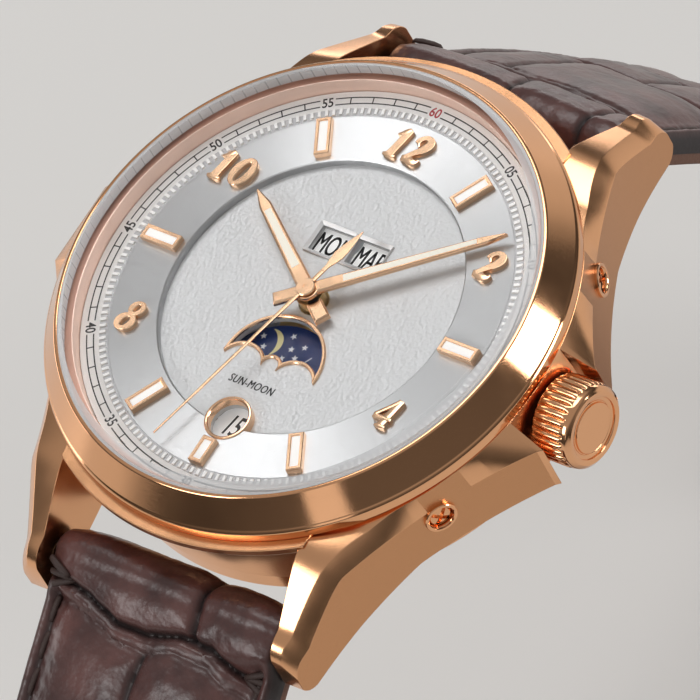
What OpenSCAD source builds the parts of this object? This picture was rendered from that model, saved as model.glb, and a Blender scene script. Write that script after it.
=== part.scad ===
// Automatic wristwatch with day, month, date and sun-moon displays on a leather strap.
// The watch stands on its two strap halves, open, with the dial facing up.
// X runs to 3 o'clock, Y to 12 o'clock, and the origin is on the floor under the dial's centre.
// Heights named _z are measured from the minute track, upwards, unless a comment says otherwise.

/* [Case] */
// Radius of the bezel's foot
bezel_r = 18.85; // [18.7:0.05:19]
// Height of the bezel's foot, which is the top of the case
case_top_z = -0.65; // [-0.7:0.01:-0.6]
// Radius of the bezel's top edge
bezel_top_r = 17.25; // [17.15:0.05:17.35]
// Height of the bezel's top edge
bezel_top_z = 2.3; // [2.2:0.05:2.4]
// Radius of the bezel's inner wall over the dial
bezel_in_r = 16.35; // [16.33:0.01:16.45]
// Half the width of the case at 3 and 9 o'clock
case_half_w = 20.9; // [20.6:0.1:21.2]
// Height of the flank's lower edge
flank_bottom_z = -6.5; // [-6.7:0.1:-6.3]
// Height of the case's lower face, on which the back is screwed
case_bottom_z = -7; // [-7.1:0.05:-6.95]
// Radius of the case body under the rim
case_body_r = 17.6; // [17.4:0.05:17.8]
// Radius of the bore that holds the movement
case_bore_r = 14.6; // [14.5:0.02:14.7]
// Radius of the rim that shows between the lugs
rim_r = 19.6; // [19.4:0.05:19.8]
// Thickness of that rim
rim_t = 0.6; // [0.4:0.05:0.8]

/* [Lugs] */
// Gap between a pair of lugs
lug_gap = 20; // [19.8:0.1:20.2]
// Distance from the dial's axis to a lug's tip
lug_tip_y = 23.1; // [22.9:0.1:23.4]
// Distance from the dial's axis to a spring bar
bar_y = 20.7; // [20.6:0.05:20.8]
// Height of the spring bars
bar_z = -6.7; // [-6.8:0.05:-6.6]
// Fall of a lug's top for each millimetre towards its tip
lug_fall = 0.8; // [0.76:0.01:0.84]
// Height of the lugs' lowest edge
lug_bottom_z = -8.9; // [-9:0.05:-8.8]
// Width of the polished strip along a lug's edge
strip_w = 0.9; // [0.8:0.05:1]
// Height of the ridge between that strip and the flank, beside the bezel
ridge_z = -2.4; // [-2.6:0.05:-2.2]

/* [Crystal and back] */
// Radius of the crystal
crystal_r = 16.9; // [16.8:0.02:16.95]
// Height of the crystal's underside
crystal_z = 1.3; // [1.25:0.05:1.4]
// Height of the crystal's top
crystal_top_z = 3.1; // [3:0.05:3.3]
// Thickness of the crystal's gasket
gasket_t = 0.2; // [0.16:0.02:0.22]
// Height of the case back's outer face
back_z = -9.2; // [-9.4:0.1:-9.1]
// Radius of the case back
back_r = 17.4; // [17.2:0.1:17.5]
// Radius of the window in the case back
back_window_r = 12.6; // [12.2:0.1:13]

/* [Crown and correctors] */
// Radius of the crown
crown_r = 3; // [2.8:0.05:3.1]
// Length of the crown
crown_l = 3.1; // [2.8:0.1:3.2]
// Height of the crown's axis
crown_z = -3.75; // [-3.8:0.01:-3.7]
// Number of flutes round the crown
crown_flutes = 32; // [24:1:36]
// Radius of a corrector's head
corrector_r = 0.8; // [0.7:0.02:0.85]
// Distance of the correctors from the crown's axis
corrector_y = 10; // [9.8:0.1:10.2]
// Height of the correctors
corrector_z = -3.4; // [-3.5:0.05:-3.3]

/* [Dial] */
// Outer radius of the minute track's ring
track_r = 16.3; // [16.25:0.01:16.32]
// Inner radius of the minute track's ring
track_in_r = 14.95; // [14.85:0.05:15.05]
// Inner radius of the white serrated ring
serrated_in_r = 14.3; // [14.2:0.05:14.4]
// Inner radius of the hour ring, which frames the sunk centre
hour_in_r = 10.8; // [10.75:0.05:10.95]
// Thickness of the rings that lie on the dial plate
ring_t = 0.6; // [0.5:0.05:0.65]
// Thickness of the dial plate
dial_t = 0.4; // [0.35:0.05:0.45]
// Height of the hour bars over the hour ring
bar_h = 0.5; // [0.4:0.05:0.55]
// Length of an hour bar
bar_l = 2.9; // [2.7:0.05:3]
// Width of an hour bar
bar_w = 1.1; // [1:0.05:1.3]
// Height of the applied numerals
numeral_h = 2.4; // [2.2:0.05:2.6]
// Distance of the day and month apertures from the dial's centre
calendar_y = 4.4; // [4.35:0.05:4.5]
// Distance of the sun-moon disc's axis from the dial's centre
moon_y = 6.4; // [6.35:0.05:6.5]
// Distance of the date window from the dial's centre
date_y = 10.3; // [10.2:0.05:10.35]
// Radius of the date window
date_r = 1.43; // [1.35:0.02:1.48]

/* [Hands] */
// Hour that the hands show
show_hour = 10; // [0:1:11]
// Minute that the hands show
show_minute = 8; // [0:1:59]
// Second that the hands show
show_second = 32.45; // [0:0.05:59.9]
// Length of the hour hand
hour_l = 10.2; // [9.8:0.1:10.5]
// Length of the minute hand
minute_l = 14.1; // [13.6:0.1:14.2]
// Length of the seconds hand
seconds_l = 14.1; // [13.6:0.1:14.6]
// Width of the hour and minute hands
hand_w = 1; // [0.9:0.05:1.15]

/* [Strap] */
// Width of the strap at the lugs
strap_w = 19.6; // [19.4:0.05:19.7]
// Width of the strap at its ends
strap_end_w = 18; // [17.6:0.1:18.2]
// Radius of the padded end round the spring bar
strap_end_r = 2.3; // [2.2:0.05:2.4]
// Thickness of the strap away from the padding
strap_t = 2.5; // [2.4:0.05:2.7]
// Thickness of the lining
lining_t = 0.8; // [0.7:0.05:0.9]
// Length of the half at 12 o'clock, to the buckle's bar
short_l = 70; // [69.8:0.1:70.2]
// Length of the half at 6 o'clock
long_l = 119; // [118:0.5:120]
// Width of the keepers along the strap
keeper_w = 4.2; // [3.8:0.1:4.6]
// Wall of the keepers
keeper_t = 1; // [0.9:0.05:1.1]
// Length of the buckle from its bar to its outer edge
buckle_l = 12; // [11.5:0.1:12.2]

/* [Hidden] */
$fn = 96;
eps = 0.01;
// Clearances of fixed, turning and strap pieces, and the reach of a cutting shape past a face
fit = 0.02;
run_fit = 0.05;
bar_fit = 0.06;
cut = 3;
gold = "#c8895a";
steel = "#b9bcc0";
brass = "#b79a5b";
leather = "#3d2420";

// Case levels and the flank's plan curve, an arc about a far centre
groove_r = 17;
groove_w = 0.6;
groove_d = 0.85;
dial_seat_z = -ring_t - dial_t;
seat_r = bezel_in_r - 0.01;
flank_r = 42.7;
flank_cy = 30.4;
flank_start_y = 3.14;
flank_cx = case_half_w + sqrt(pow(flank_r, 2) - pow(flank_cy - flank_start_y, 2));
flank_lean = 0.04;
strip_y = 10;
lug_y = 17;
step_y = 18;
lug_tip_r = 1.7;
lug_heel_r = 1.1;
top_tilt = 0.15;
wing_steps = concat([for (i = [0:11]) i * 1.5], [lug_y, step_y - 0.5, step_y]);
lug_steps = [for (i = [1:10]) step_y + i / 10 * (lug_tip_y - 0.1 - step_y)];
pocket_x = bezel_r + 0.1;
pocket_in = crown_r + 0.08;
pocket_out = crown_r + 0.5;
shoulder_in = 0.25;
shoulder_h = 1.8;
lug_bite = 0.4;
lug_hole_fit = 0.03;
lug_hole_l = 1;
rim_out_z = 0.05;
rim_edge = 0.1;
rim_slope_z = 0.3;

// Crystal's edge, case back, its window and its screws
crystal_rise = 0.25;
crystal_edge = [0.3, 0.12];
crystal_chamfer = 0.55;
back_chamfer = 0.7;
back_lip_l = 0.35;
back_lip_w = 1;
back_pane_lip = 0.8;
back_pane_z = [back_z + 0.6, case_bottom_z - 0.55];
back_gasket_r = 15.4;
back_gasket_w = 0.5;
back_gasket_t = 0.4;
back_screw_at = 16.65;
back_screw_r = 0.4;
back_screw_l = 1.4;
back_head_r = 0.6;
back_head_z = [back_z + 0.7, back_z + 1.15];
screw_slot = [0.16, 0.2];

// Crown, stem and correctors
crown_x = pocket_x + 0.35;
crown_recess_r = 1.75;
crown_recess_l = 1.7;
crown_wall = 0.6;
flute_d = 0.22;
flute_l = crown_l - 0.55;
crown_band_r = crown_r - 0.12;
crown_band_l = crown_l - 0.2;
crown_face_r = crown_r - 0.4;
crown_dish_r = crown_r - 0.95;
crown_dish_d = 0.15;
crown_gasket_l = [0.5, 1.1];
tube_x = [case_bore_r + 0.4, crown_x + crown_recess_l - 0.3];
tube_r = 1;
stem_r = 0.5;
stem_x = 6.8;
pinion_r = 1;
pinion_x = 8.2;
pinion_l = 2;
pinion_teeth = 12;
pinion_tooth_d = 0.2;
holder_room = 0.2;
corrector_turn = asin((flank_cy - corrector_y) / flank_r);
corrector_x = wing_x(corrector_y) + 0.15;
corrector_l = 1.1;
corrector_stem_r = 0.4;
corrector_end_x = 12.19;
corrector_stem_l = (corrector_x - corrector_end_x) / cos(corrector_turn) - corrector_l;
corrector_bore_l = corrector_l + corrector_stem_l;
corrector_travel = 0.5;
corrector_room = 0.2;
corrector_sink = 0.15;
corrector_slot = [0.24, 0.25];
collar_t = 0.35;
collar_l = 0.8;
collar_rise = 0.06;

// Movement levels
movement_r = 13.6;
plate_z = [-3.3, -2.42];
calendar_z = [-2.4, -2];
moon_disc_z = -1.95;
date_ring_z = -1.65;
day_disc_z = -1.35;
disc_t = 0.2;
day_teeth = 14;
month_teeth = 24;
calendar_tooth_d = 0.12;
days_in_ring = 31;
ring_notch_r = 0.3;
calendar_seat = 0.5;
calendar_hole_r = 3.3;
level_gap = 0.03;
disc_r = 5.8;
disc_x = 6;
moon_disc_r = 4.8;
date_ring_in = 8.8;
date_ring_out = 12;
post_r = 0.5;
barrel_at = [-4.67, 4.67];
barrel_r = 5.6;
third_at = [0, -4.5];
fourth_at = [3, -5.46];
escape_at = [5.6, -4.2];
fork_at = [5.2, -7];
balance_at = [3.2, -9.4];
balance_r = 3.4;
bridge_z = [-5.65, -5.05];
cock_z = [-6, -5.7];
rotor_z = [-6.5, -6.2];
rotor_rim_z = [-7.25, -6.15];
rotor_r = 12.9;
bearing_r = 1.9;
bearing_eye_r = 0.45;
rotor_rim_w = 2.2;
rotor_hub_w = 1.3;
rotor_holes = [200, 250, 290, 340];
rotor_hole_at = 6.2;
rotor_hole_r = 1.6;

// Wheels, as [radius, teeth, depth of a tooth, height], the heights below the main plate
hour_wheel_gear = [3, 48, 0.12];
hour_wheel_z = [plate_z[1] + 0.07, moon_disc_z - 0.15];
center_gear = [3.93, 72, 0.12, [0.45, 0.3]];
center_pinion = [0.9, 12, 0.12, [1.4, 0.45]];
barrel_gear = [barrel_r, 90, 0.12, [0.75, 0.55]];
barrel_drum = [barrel_r - 0.4, [1.45, 0.7]];
barrel_arbor_r = 0.9;
third_gear = [2.6, 60, 0.85];
third_pinion = [0.52, [0.5, 0.25]];
third_upper = [3.95, 72, 0.1, [0.1, 0.2]];
fourth_gear = [2.4, 56, 0.55];
fourth_pinion = [0.5, [1.05, 0.8]];
fourth_low = 0.3;
escape_gear = [1.9, 20, 1.25];
escape_pinion = [0.45, [0.75, 0.5]];
train_t = 0.15;
train_tooth_d = 0.1;
pinion_count = 10;
fine_tooth_d = 0.08;
arbor_r = 0.2;
end_shake = 0.02;
seconds_pinion = [0.5, [0.07, 0.25]];
fork_z = plate_z[0] - 1.4;
fork_lever = [2.3, 0.3];
fork_arms = [0.3, 2];
fork_hub_r = 0.35;
fork_arbor_r = 0.15;
balance_rim_w = 0.45;
balance_rim_z = [cock_z[1] + 0.15, cock_z[1] + 0.42];
balance_arm = [0.4, 0.15];
balance_staff_r = 0.25;
roller_r = 0.6;
roller_z = [plate_z[0] - 1.45, plate_z[0] - 1.25];
bridge_feet = [75, 165, 215];
bridge_foot_r = 1.1;
bridge_foot_in = 1.2;
bridge_notch = [4.2, 5];
balance_room = 0.3;
cock_w = 2.2;
cock_y = [balance_at[1] - 1.2, balance_at[1] + 5.9];
cock_foot_l = 1.9;
jewel_r = 0.35;
jewel_d = 0.12;
pinion_room = 0.2;

// Windows in the dial
moon_arc_r = 3.6;
moon_arc_y = 1.1 - moon_y;
moon_foot_y = moon_arc_y - 0.16;
frame_w = 0.25;
aperture_x = [-1.55, 1.5];
aperture = [2.6, 1.95];
calendar_frame_x = -0.05;
calendar_frame_size = [6.1, 2.5];
calendar_frame_t = 0.22;
moon_frame_t = 0.2;
date_frame_top_z = 0.1;
side_scallop = [2.17, moon_arc_y - 1, 1.9];
mid_scallop = [moon_arc_y - 0.25, 0.9];
serrated_z = [0.02, 0.12];
dial_hole_room = 0.15;

bar_back = 0.2;
short_bar_l = 2;
short_bar_back = 0.1;
bar_wall = 0.24;
inlay_d = 0.15;
inlay_sink = 0.05;

// Hour bars, as [hour, length, distance of the middle from the centre]
bar_places = concat(
  [for (h = [1:2:11]) [h, bar_l, serrated_in_r - bar_back - bar_l / 2]],
  [[6, short_bar_l, serrated_in_r - short_bar_back - short_bar_l / 2]]
);
numeral_t = bar_h - 0.1;
pen = 0.16;
digit_pitch = 0.66;
digit_shift = 0.1;
numeral_lean = 0.22;

// Numerals, as [centre, digits]
numerals = [
  [[0, 12.5], [1, 2]], [[10.85, 6.45], [2]], [[10.6, -6.1], [4]],
  [[-11.1, -6.1], [8]], [[-10.95, 6.45], [1, 0]],
];

// Hands
minute_turn = 6 * (show_minute + show_second / 60);
hour_turn = 30 * (show_hour + (show_minute + show_second / 60) / 60);
second_turn = 6 * show_second;
hour_hand_z = [-0.1, 0.38];
minute_hand_z = [bar_h + 0.1, bar_h + 0.46];
seconds_hand_z = [minute_hand_z[1] + 0.06, minute_hand_z[1] + 0.16];
hand_tail = 2.4;
hand_tip_l = 1.4;
hand_tip_w = 0.24;
hand_hub_r = 1.1 * hand_w;
hour_hand_w = 1.1 * hand_w;
hand_slot_y = 2.4;
hand_slot_end = 2.2;
needle_w = [0.32, 0.12];
leaf_y = [-2, -3, -5.4];
leaf_w = [0.3, 0.84];
seconds_hub_r = 0.8;
seconds_arbor_r = 0.2;
cannon_r = 0.55;
hour_pipe_r = 0.95;
inlay_t = 0.08;

// Strap paths, as [length, first slope, last slope] in degrees below level, from each spring bar
bar_r = 0.8;
bar_tip_r = 0.4;
bar_tip_l = 0.9;
wrap_r = 1.6;
lining_first_s = 2.6;
pad_h = 1;
fold_s = [1.8, 3.4, 6];
pad_mid_s = 20;
pad_end_s = 50;
taper_s = [8, 60];
station_pitch = 2.5;
station_first_s = 10.5;
leather_first_s = 1.2;
side_share = 0.55;
flat_share = 0.72;
wrap_gap_s = 0.9;
lining_stop_s = short_l - 3;
tongue_room = [0.35, 2.6, 3.4];
buckle_eye_r = 1.15;
buckle_leg_t = 1.9;
buckle_rod_tip_r = 0.4;
buckle_bar_r = 0.75;
half_t = strap_t / 2;
short_slopes = [52, 72, 140];
short_lead_l = 6;
short_bend_l = 34;
short_run_l = 16;
short_curl_l = short_l - short_lead_l - short_bend_l - short_run_l;
short_path = [
  [short_lead_l, short_slopes[0], short_slopes[0]], [short_bend_l, short_slopes[0], short_slopes[1]],
  [short_run_l, short_slopes[1], short_slopes[1]], [short_curl_l, short_slopes[1], short_slopes[2]],
];
short_end = path_point(short_path, short_l);
dial_z = wrap_r - short_end[1] - bar_z;
long_slope = 31;
long_lead_l = 20;
long_lead = [long_lead_l, long_slope, long_slope];
long_drop = dial_z + bar_z - half_t + path_step(long_lead, long_lead_l)[1];
long_r = long_drop / (cos(long_slope) + 1);
long_arc = long_r * (180 - long_slope) * PI / 180;
long_path = [long_lead, [long_arc, long_slope, 180], [long_l - long_lead_l - long_arc, 180, 180]];
tip_l = 9;
hole_r = 1;
hole_pitch = 6.5;
hole_count = 7;
hole_first = long_l - 20 - (hole_count - 1) * hole_pitch;
fixed_keeper_back = 8.5;
fixed_keeper_s = short_l - fixed_keeper_back;
free_keeper_s = 48;
keeper_gap = 0.3;
keeper_room = strap_t + 2 * keeper_gap;
buckle_rod_r = 1.1;
buckle_turn = asin((wrap_r - buckle_rod_r) / (buckle_l - buckle_rod_r));
buckle_leg_w = 1.8;
buckle_side_gap = 0.25;
buckle_in = strap_end_w / 2 + buckle_side_gap;
buckle_bar_over = 0.1;
buckle_pin_l = 1;
buckle_hole_x = buckle_in + buckle_pin_l + 2 * run_fit;
tongue_w = 1.8;
tongue_t = 0.6;
tongue_eye_r = 1.25;
tongue_short = 0.25;
tongue_rest = 0.4;
tongue_fit = 0.04;
tongue_side_fit = 0.2;
tongue_seat_d = 0.75;
tongue_drop = asin((tongue_rest + tongue_t / 2 + tongue_fit) / (buckle_l - buckle_rod_r));

// Point reached at a length s into one arc [length, first slope, last slope]
function path_step(arc, s) =
  let (a0 = arc[1], a1 = a0 + (arc[2] - a0) * s / arc[0], da = (arc[2] - a0) * PI / 180)
  abs(da) < 0.001
    ? [s * cos(a0), -s * sin(a0), a1]
    : let (r = arc[0] / da) [r * (sin(a1) - sin(a0)), r * (cos(a1) - cos(a0)), a1];

// Point and slope at a length s along a path, as [outward, up, slope]
function path_point(path, s, i = 0) =
  i == len(path) - 1 || s <= path[i][0]
    ? path_step(path[i], s)
    : let (here = path_step(path[i], path[i][0]), rest = path_point(path, s - path[i][0], i + 1))
      [here[0] + rest[0], here[1] + rest[1], rest[2]];

// Point of a strap at s along, x across and n proud of the path, side 1 at 12 and -1 at 6 o'clock
function strap_point(path, side, s, x, n) =
  let (p = path_point(path, s))
  [x, side * (bar_y + p[0] + n * sin(p[2])), dial_z + bar_z + p[1] + n * cos(p[2])];

// Padding over the strap's half thickness, highest at the lugs with a dip at the cross fold
function pad(s) = lookup(s, [
  [0, pad_h], [fold_s[0], 0.95 * pad_h], [fold_s[1], 0.5 * pad_h], [fold_s[2], 0.9 * pad_h],
  [pad_mid_s, 0.75 * pad_h], [pad_end_s, 0], [long_l, 0],
]);
function strap_width(s) = lookup(s, [
  [0, strap_w], [taper_s[0], strap_w], [taper_s[1], strap_end_w], [long_l, strap_end_w],
]);

// Half width at s, drawn in to a rounded point over the last part when tip is not 0
function half_width(s, l, tip) =
  strap_width(s) / 2 * (s < l - tip || tip == 0 ? 1 : sqrt(max(0, 1 - pow((s - l + tip) / tip, 2))));

// Stations along a strap half, closer together at the padding and at the tip
function stations(l, tip, stop) = [for (s = all_stations(l, tip)) if (s <= stop) s];
function all_stations(l, tip) = concat(
  [lining_first_s, fold_s[1], (fold_s[1] + fold_s[2]) / 2, fold_s[2], fold_s[2] + station_pitch],
  [for (s = [station_first_s:station_pitch:l - tip - 1.5]) s],
  tip == 0 ? [l] : [for (k = [0:7]) l - tip + tip * sin(k * 12)]
);

function wing_x(y) = min(case_half_w, flank_cx - sqrt(pow(flank_r, 2) - pow(flank_cy - y, 2)));
function wing_strip(y) = y < strip_y
  ? wing_x(y) - sqrt(pow(bezel_r + 0.05, 2) - pow(y, 2))
  : strip_w * lookup(y - strip_y, [[0, 0.3], [2, 0.8], [5, 1], [20, 1]]);
function lug_top(y) =
  y < lug_y ? case_top_z : let (yt = lug_tip_y - lug_tip_r)
  y < yt ? case_top_z - lug_fall * (y - lug_y)
         : case_top_z - lug_fall * (yt - lug_y) - lug_tip_r + sqrt(pow(lug_tip_r, 2) - pow(y - yt, 2));
function lug_low(y) =
  let (yt = lug_tip_y - lug_heel_r)
  y < step_y ? lookup(y, [[0, flank_bottom_z], [8, flank_bottom_z], [step_y, flank_bottom_z - 0.4]])
  : y < yt ? lookup(y, [[step_y, lug_bottom_z + 0.4], [yt, lug_bottom_z]])
           : lug_bottom_z + lug_heel_r - sqrt(max(0, pow(lug_heel_r, 2) - pow(y - yt, 2)));

// Section of the case's flank and lug across X at y, five points from the inside top round
function wing_section(y) =
  let (
    x0 = lug_gap / 2,
    xr = wing_x(y),
    xs = xr - wing_strip(y),
    zt = lug_top(y),
    zs = zt - top_tilt * (xs - x0) * lookup(y, [[8, 0], [12, 1]]),
    zb = lug_low(y),
    zr = max(zb + 0.3, min(ridge_z, zs - lookup(y, [[strip_y, 0.9], [lug_tip_y, 1.2]]))),
    xb = xr - flank_lean * (zr - zb)
  )
  [[x0, y, zt], [xs, y, zs], [xr, y, zr], [xb, y, zb], [x0, y, zb]];

module at_dial() {
  translate([0, 0, dial_z]) children();
}

module ring(r_out, r_in, z0, z1) {
  translate([0, 0, z0]) linear_extrude(z1 - z0) difference() {
    circle(r_out);
    circle(r_in);
  }
}

module disc(r, z0, z1) {
  translate([0, 0, z0]) cylinder(r = r, h = z1 - z0);
}

module disc_at(p, r, z0, z1) {
  translate([p[0], p[1], 0]) disc(r, z0, z1);
}

// Rod along X at height z, from x0 to x1
module rod_x(r, x0, x1) {
  translate([x0, 0, 0]) rotate([0, 90, 0]) cylinder(r = r, h = x1 - x0);
}

// Solid that joins sections of equally many points, listed in order
module loft(sections) {
  n = len(sections[0]);
  m = len(sections);
  polyhedron(
    points = [for (s = sections) for (p = s) p],
    faces = concat(
      [[for (j = [0:n - 1]) j]],
      [[for (j = [n - 1:-1:0]) (m - 1) * n + j]],
      [for (i = [0:m - 2]) for (j = [0:n - 1])
        let (a = i * n + j, b = i * n + (j + 1) % n) [a, a + n, b]],
      [for (i = [0:m - 2]) for (j = [0:n - 1])
        let (a = i * n + j, b = i * n + (j + 1) % n) [b, a + n, b + n]]
    ),
    convexity = 4
  );
}

// Disc with n small teeth, from radius r to r less the depth
module toothed(r, n, depth, z0, z1) {
  translate([0, 0, z0]) linear_extrude(z1 - z0) polygon([
    for (i = [0:n - 1]) for (k = [0:3])
      let (a = (i + [0, 0.3, 0.5, 0.8][k]) * 360 / n, q = k < 2 ? r : r - depth) [q * cos(a), q * sin(a)]
  ]);
}

// Toothed disc of a wheel [radius, teeth, depth, levels], the levels counted from a height up or down
module gear(wheel, from_z, way) {
  toothed(wheel[0], wheel[1], wheel[2], from_z + way * wheel[3][0], from_z + way * wheel[3][1]);
}

module wing() {
  loft([for (y = concat(wing_steps, lug_steps)) wing_section(y)]);
}

module corrector_frame(side) {
  translate([corrector_x, side * corrector_y, corrector_z])
    rotate([0, 0, side * corrector_turn])
      rotate([0, 90, 0]) children();
}

// Children at the six screws of the back
module round_back() {
  for (i = [0:5]) rotate([0, 0, 30 + i * 60]) translate([back_screw_at, 0, 0]) children();
}

module case_middle() at_dial() color(gold) difference() {
  union() {
    disc(case_body_r, case_bottom_z, case_top_z);
    disc(bezel_r - shoulder_in, case_top_z - shoulder_h, case_top_z);
    intersection() {
      disc(rim_r, case_top_z - rim_t, case_top_z);
      translate([-lug_gap / 2 - lug_bite, -rim_r, case_top_z - rim_t])
        cube([lug_gap + 2 * lug_bite, 2 * rim_r, rim_t]);
    }
    for (sx = [0, 1]) for (sy = [0, 1]) mirror([sx, 0, 0]) mirror([0, sy, 0]) wing();
  }
  disc(case_bore_r, case_bottom_z - cut, dial_seat_z + eps);
  disc(seat_r, dial_seat_z, dial_seat_z + cut);
  ring(groove_r + groove_w + fit, groove_r - fit, case_top_z - groove_d - fit, case_top_z + cut);
  crown_pocket();
  translate([0, 0, crown_z]) rod_x(tube_r, case_bore_r - cut, pocket_x + cut);
  for (s = [-1, 1]) corrector_frame(s) {
    disc(corrector_stem_r + run_fit, -corrector_bore_l, cut);
    disc(corrector_r + run_fit, -corrector_l - corrector_travel - corrector_room, cut);
    disc(corrector_r + run_fit + collar_t, -collar_l, cut);
  }
  for (s = [-1, 1]) translate([0, s * bar_y, bar_z])
    rod_x(bar_tip_r + lug_hole_fit, -lug_gap / 2 - lug_hole_l, lug_gap / 2 + lug_hole_l);
  round_back() disc(back_screw_r, case_bottom_z - cut, case_bottom_z + back_screw_l);
}
// Trapezoid recess that gives a hold on the crown
module crown_pocket() {
  translate([0, 0, case_bottom_z - cut]) linear_extrude(case_top_z - case_bottom_z + 2 * cut) polygon([
    [pocket_x, -pocket_in], [case_half_w + 1, -pocket_out],
    [case_half_w + 1, pocket_out], [pocket_x, pocket_in],
  ]);
}

module bezel() at_dial() color(gold) {
  rotate_extrude() polygon([
    [bezel_in_r, case_top_z], [groove_r, case_top_z], [groove_r, case_top_z - groove_d],
    [groove_r + groove_w, case_top_z - groove_d], [groove_r + groove_w, case_top_z],
    [bezel_r, case_top_z], [bezel_r, rim_out_z], [bezel_r - rim_edge, (rim_out_z + rim_slope_z) / 2],
    [bezel_r - 2 * rim_edge, rim_slope_z], [bezel_top_r + rim_edge, bezel_top_z - rim_edge / 2],
    [bezel_top_r, bezel_top_z],
    [crystal_r + gasket_t, bezel_top_z], [crystal_r + gasket_t, crystal_z], [bezel_in_r, crystal_z],
  ]);
}

module crystal() at_dial() color("#dfe8ec", 0.3) rotate_extrude() polygon([
  [0, crystal_z], [crystal_r, crystal_z], [crystal_r, bezel_top_z + crystal_rise],
  [crystal_r - crystal_edge[0], crystal_top_z - crystal_edge[1]],
  [crystal_r - crystal_chamfer, crystal_top_z], [0, crystal_top_z],
]);

module crystal_gasket() at_dial() color("white")
  ring(crystal_r + gasket_t, crystal_r, crystal_z, bezel_top_z - rim_edge);

module case_back() at_dial() color(gold) difference() {
  union() {
    rotate_extrude() polygon([
      [back_window_r, back_z], [back_r - back_chamfer, back_z], [back_r, back_z + back_chamfer],
      [back_r, case_bottom_z], [back_window_r, case_bottom_z],
    ]);
    ring(case_bore_r - 2 * run_fit, back_window_r + back_lip_w, case_bottom_z, case_bottom_z + back_lip_l);
  }
  disc(back_window_r + back_pane_lip + fit, back_pane_z[0], case_bottom_z + cut);
  ring(back_gasket_r + back_gasket_w, back_gasket_r, case_bottom_z - back_gasket_t, case_bottom_z + cut);
  round_back() {
    disc(back_screw_r + fit, back_z - cut, case_bottom_z + cut);
    disc(back_head_r + fit, back_z - cut, back_head_z[1]);
  }
}

module back_crystal() at_dial() color("#dfe8ec", 0.3)
  disc(back_window_r + back_pane_lip, back_pane_z[0], back_pane_z[1]);

module back_gasket() at_dial() color("#202020")
  ring(back_gasket_r + back_gasket_w, back_gasket_r, case_bottom_z - back_gasket_t, case_bottom_z);

module back_screws() at_dial() color(steel)
  round_back() difference() {
    union() {
      disc(back_screw_r - fit, back_head_z[0] + 0.1, case_bottom_z + back_screw_l - 2 * run_fit);
      disc(back_head_r, back_head_z[0], back_head_z[1]);
    }
    translate([-cut, -screw_slot[0] / 2, back_head_z[0] - cut])
      cube([2 * cut, screw_slot[0], cut + screw_slot[1]]);
  }

module movement_holder() at_dial() color("#d8d8d4") difference() {
  ring(case_bore_r - run_fit, movement_r + run_fit, case_bottom_z + back_lip_l + run_fit, dial_seat_z - fit);
  translate([0, 0, crown_z]) rod_x(stem_r + holder_room, 0, case_bore_r + cut);
  for (s = [-1, 1]) corrector_frame(s) disc(corrector_stem_r + holder_room, -corrector_bore_l - cut, 0);
}

module crown_tube() at_dial() color(steel) translate([0, 0, crown_z]) difference() {
  rod_x(tube_r - fit, tube_x[0], tube_x[1]);
  rod_x(stem_r + run_fit, case_bore_r - cut, crown_x + cut);
}

module crown() at_dial() color(gold) translate([0, 0, crown_z]) difference() {
  union() {
    translate([crown_x, 0, 0]) rotate([0, 90, 0]) toothed(crown_r, crown_flutes, flute_d, 0, flute_l);
    rod_x(crown_band_r, crown_x + flute_l, crown_x + crown_band_l);
    rod_x(crown_face_r, crown_x + crown_band_l, crown_x + crown_l);
  }
  rod_x(crown_dish_r, crown_x + crown_l - crown_dish_d, crown_x + crown_l + cut);
  rod_x(crown_recess_r, crown_x - cut, crown_x + crown_recess_l);
  rod_x(stem_r, crown_x, crown_x + crown_l - crown_wall);
}

module winding_stem() at_dial() color(steel)
  translate([0, 0, crown_z]) rod_x(stem_r - fit, stem_x, crown_x + crown_l - crown_wall);

module crown_gasket() at_dial() color("#202020") translate([0, 0, crown_z]) difference() {
  rod_x(crown_recess_r - fit, crown_x + crown_gasket_l[0], crown_x + crown_gasket_l[1]);
  rod_x(tube_r + 2 * fit, crown_x, crown_x + cut);
}

module sliding_pinion() at_dial() color(steel) translate([pinion_x, 0, crown_z]) difference() {
  rotate([0, 90, 0]) toothed(pinion_r, pinion_teeth, pinion_tooth_d, 0, pinion_l);
  rod_x(stem_r + fit, -cut, pinion_l + cut);
}

module corrector(side) color(gold) corrector_frame(side) difference() {
  union() {
    disc(corrector_r, -corrector_l, -corrector_sink);
    disc(corrector_stem_r, -corrector_l - corrector_stem_l, -corrector_l);
  }
  for (a = [45, 135]) rotate([0, 0, a])
    translate([-cut, -corrector_slot[0] / 2, -corrector_sink - corrector_slot[1]])
      cube([2 * cut, corrector_slot[0], cut]);
}

module corrector_2() at_dial() corrector(1);
module corrector_4() at_dial() corrector(-1);

module corrector_collars() at_dial() color(gold) for (s = [-1, 1]) corrector_frame(s)
  ring(corrector_r + run_fit + collar_t - fit, corrector_r + run_fit, -collar_l, collar_rise);

// The window outlines that the dial and its frames share
module calendar_opening() {
  for (x = aperture_x) translate([x, calendar_y]) square(aperture, center = true);
}

module moon_opening(grow) {
  difference() {
    intersection() {
      translate([0, moon_arc_y]) circle(moon_arc_r + grow);
      translate([-moon_disc_r, moon_foot_y - grow]) square(2 * moon_disc_r);
    }
    for (s = [-1, 1]) translate([s * side_scallop[0], side_scallop[1]]) circle(side_scallop[2] - grow);
    translate([0, mid_scallop[0]]) circle(mid_scallop[1] - grow);
  }
}

module dial_plate() at_dial() color("#cfd1d3") translate([0, 0, dial_seat_z])
  linear_extrude(dial_t) difference() {
    circle(track_r);
    circle(hour_pipe_r + dial_hole_room);
    calendar_opening();
    moon_opening(0);
    translate([0, -date_y]) circle(date_r);
  }

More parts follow.
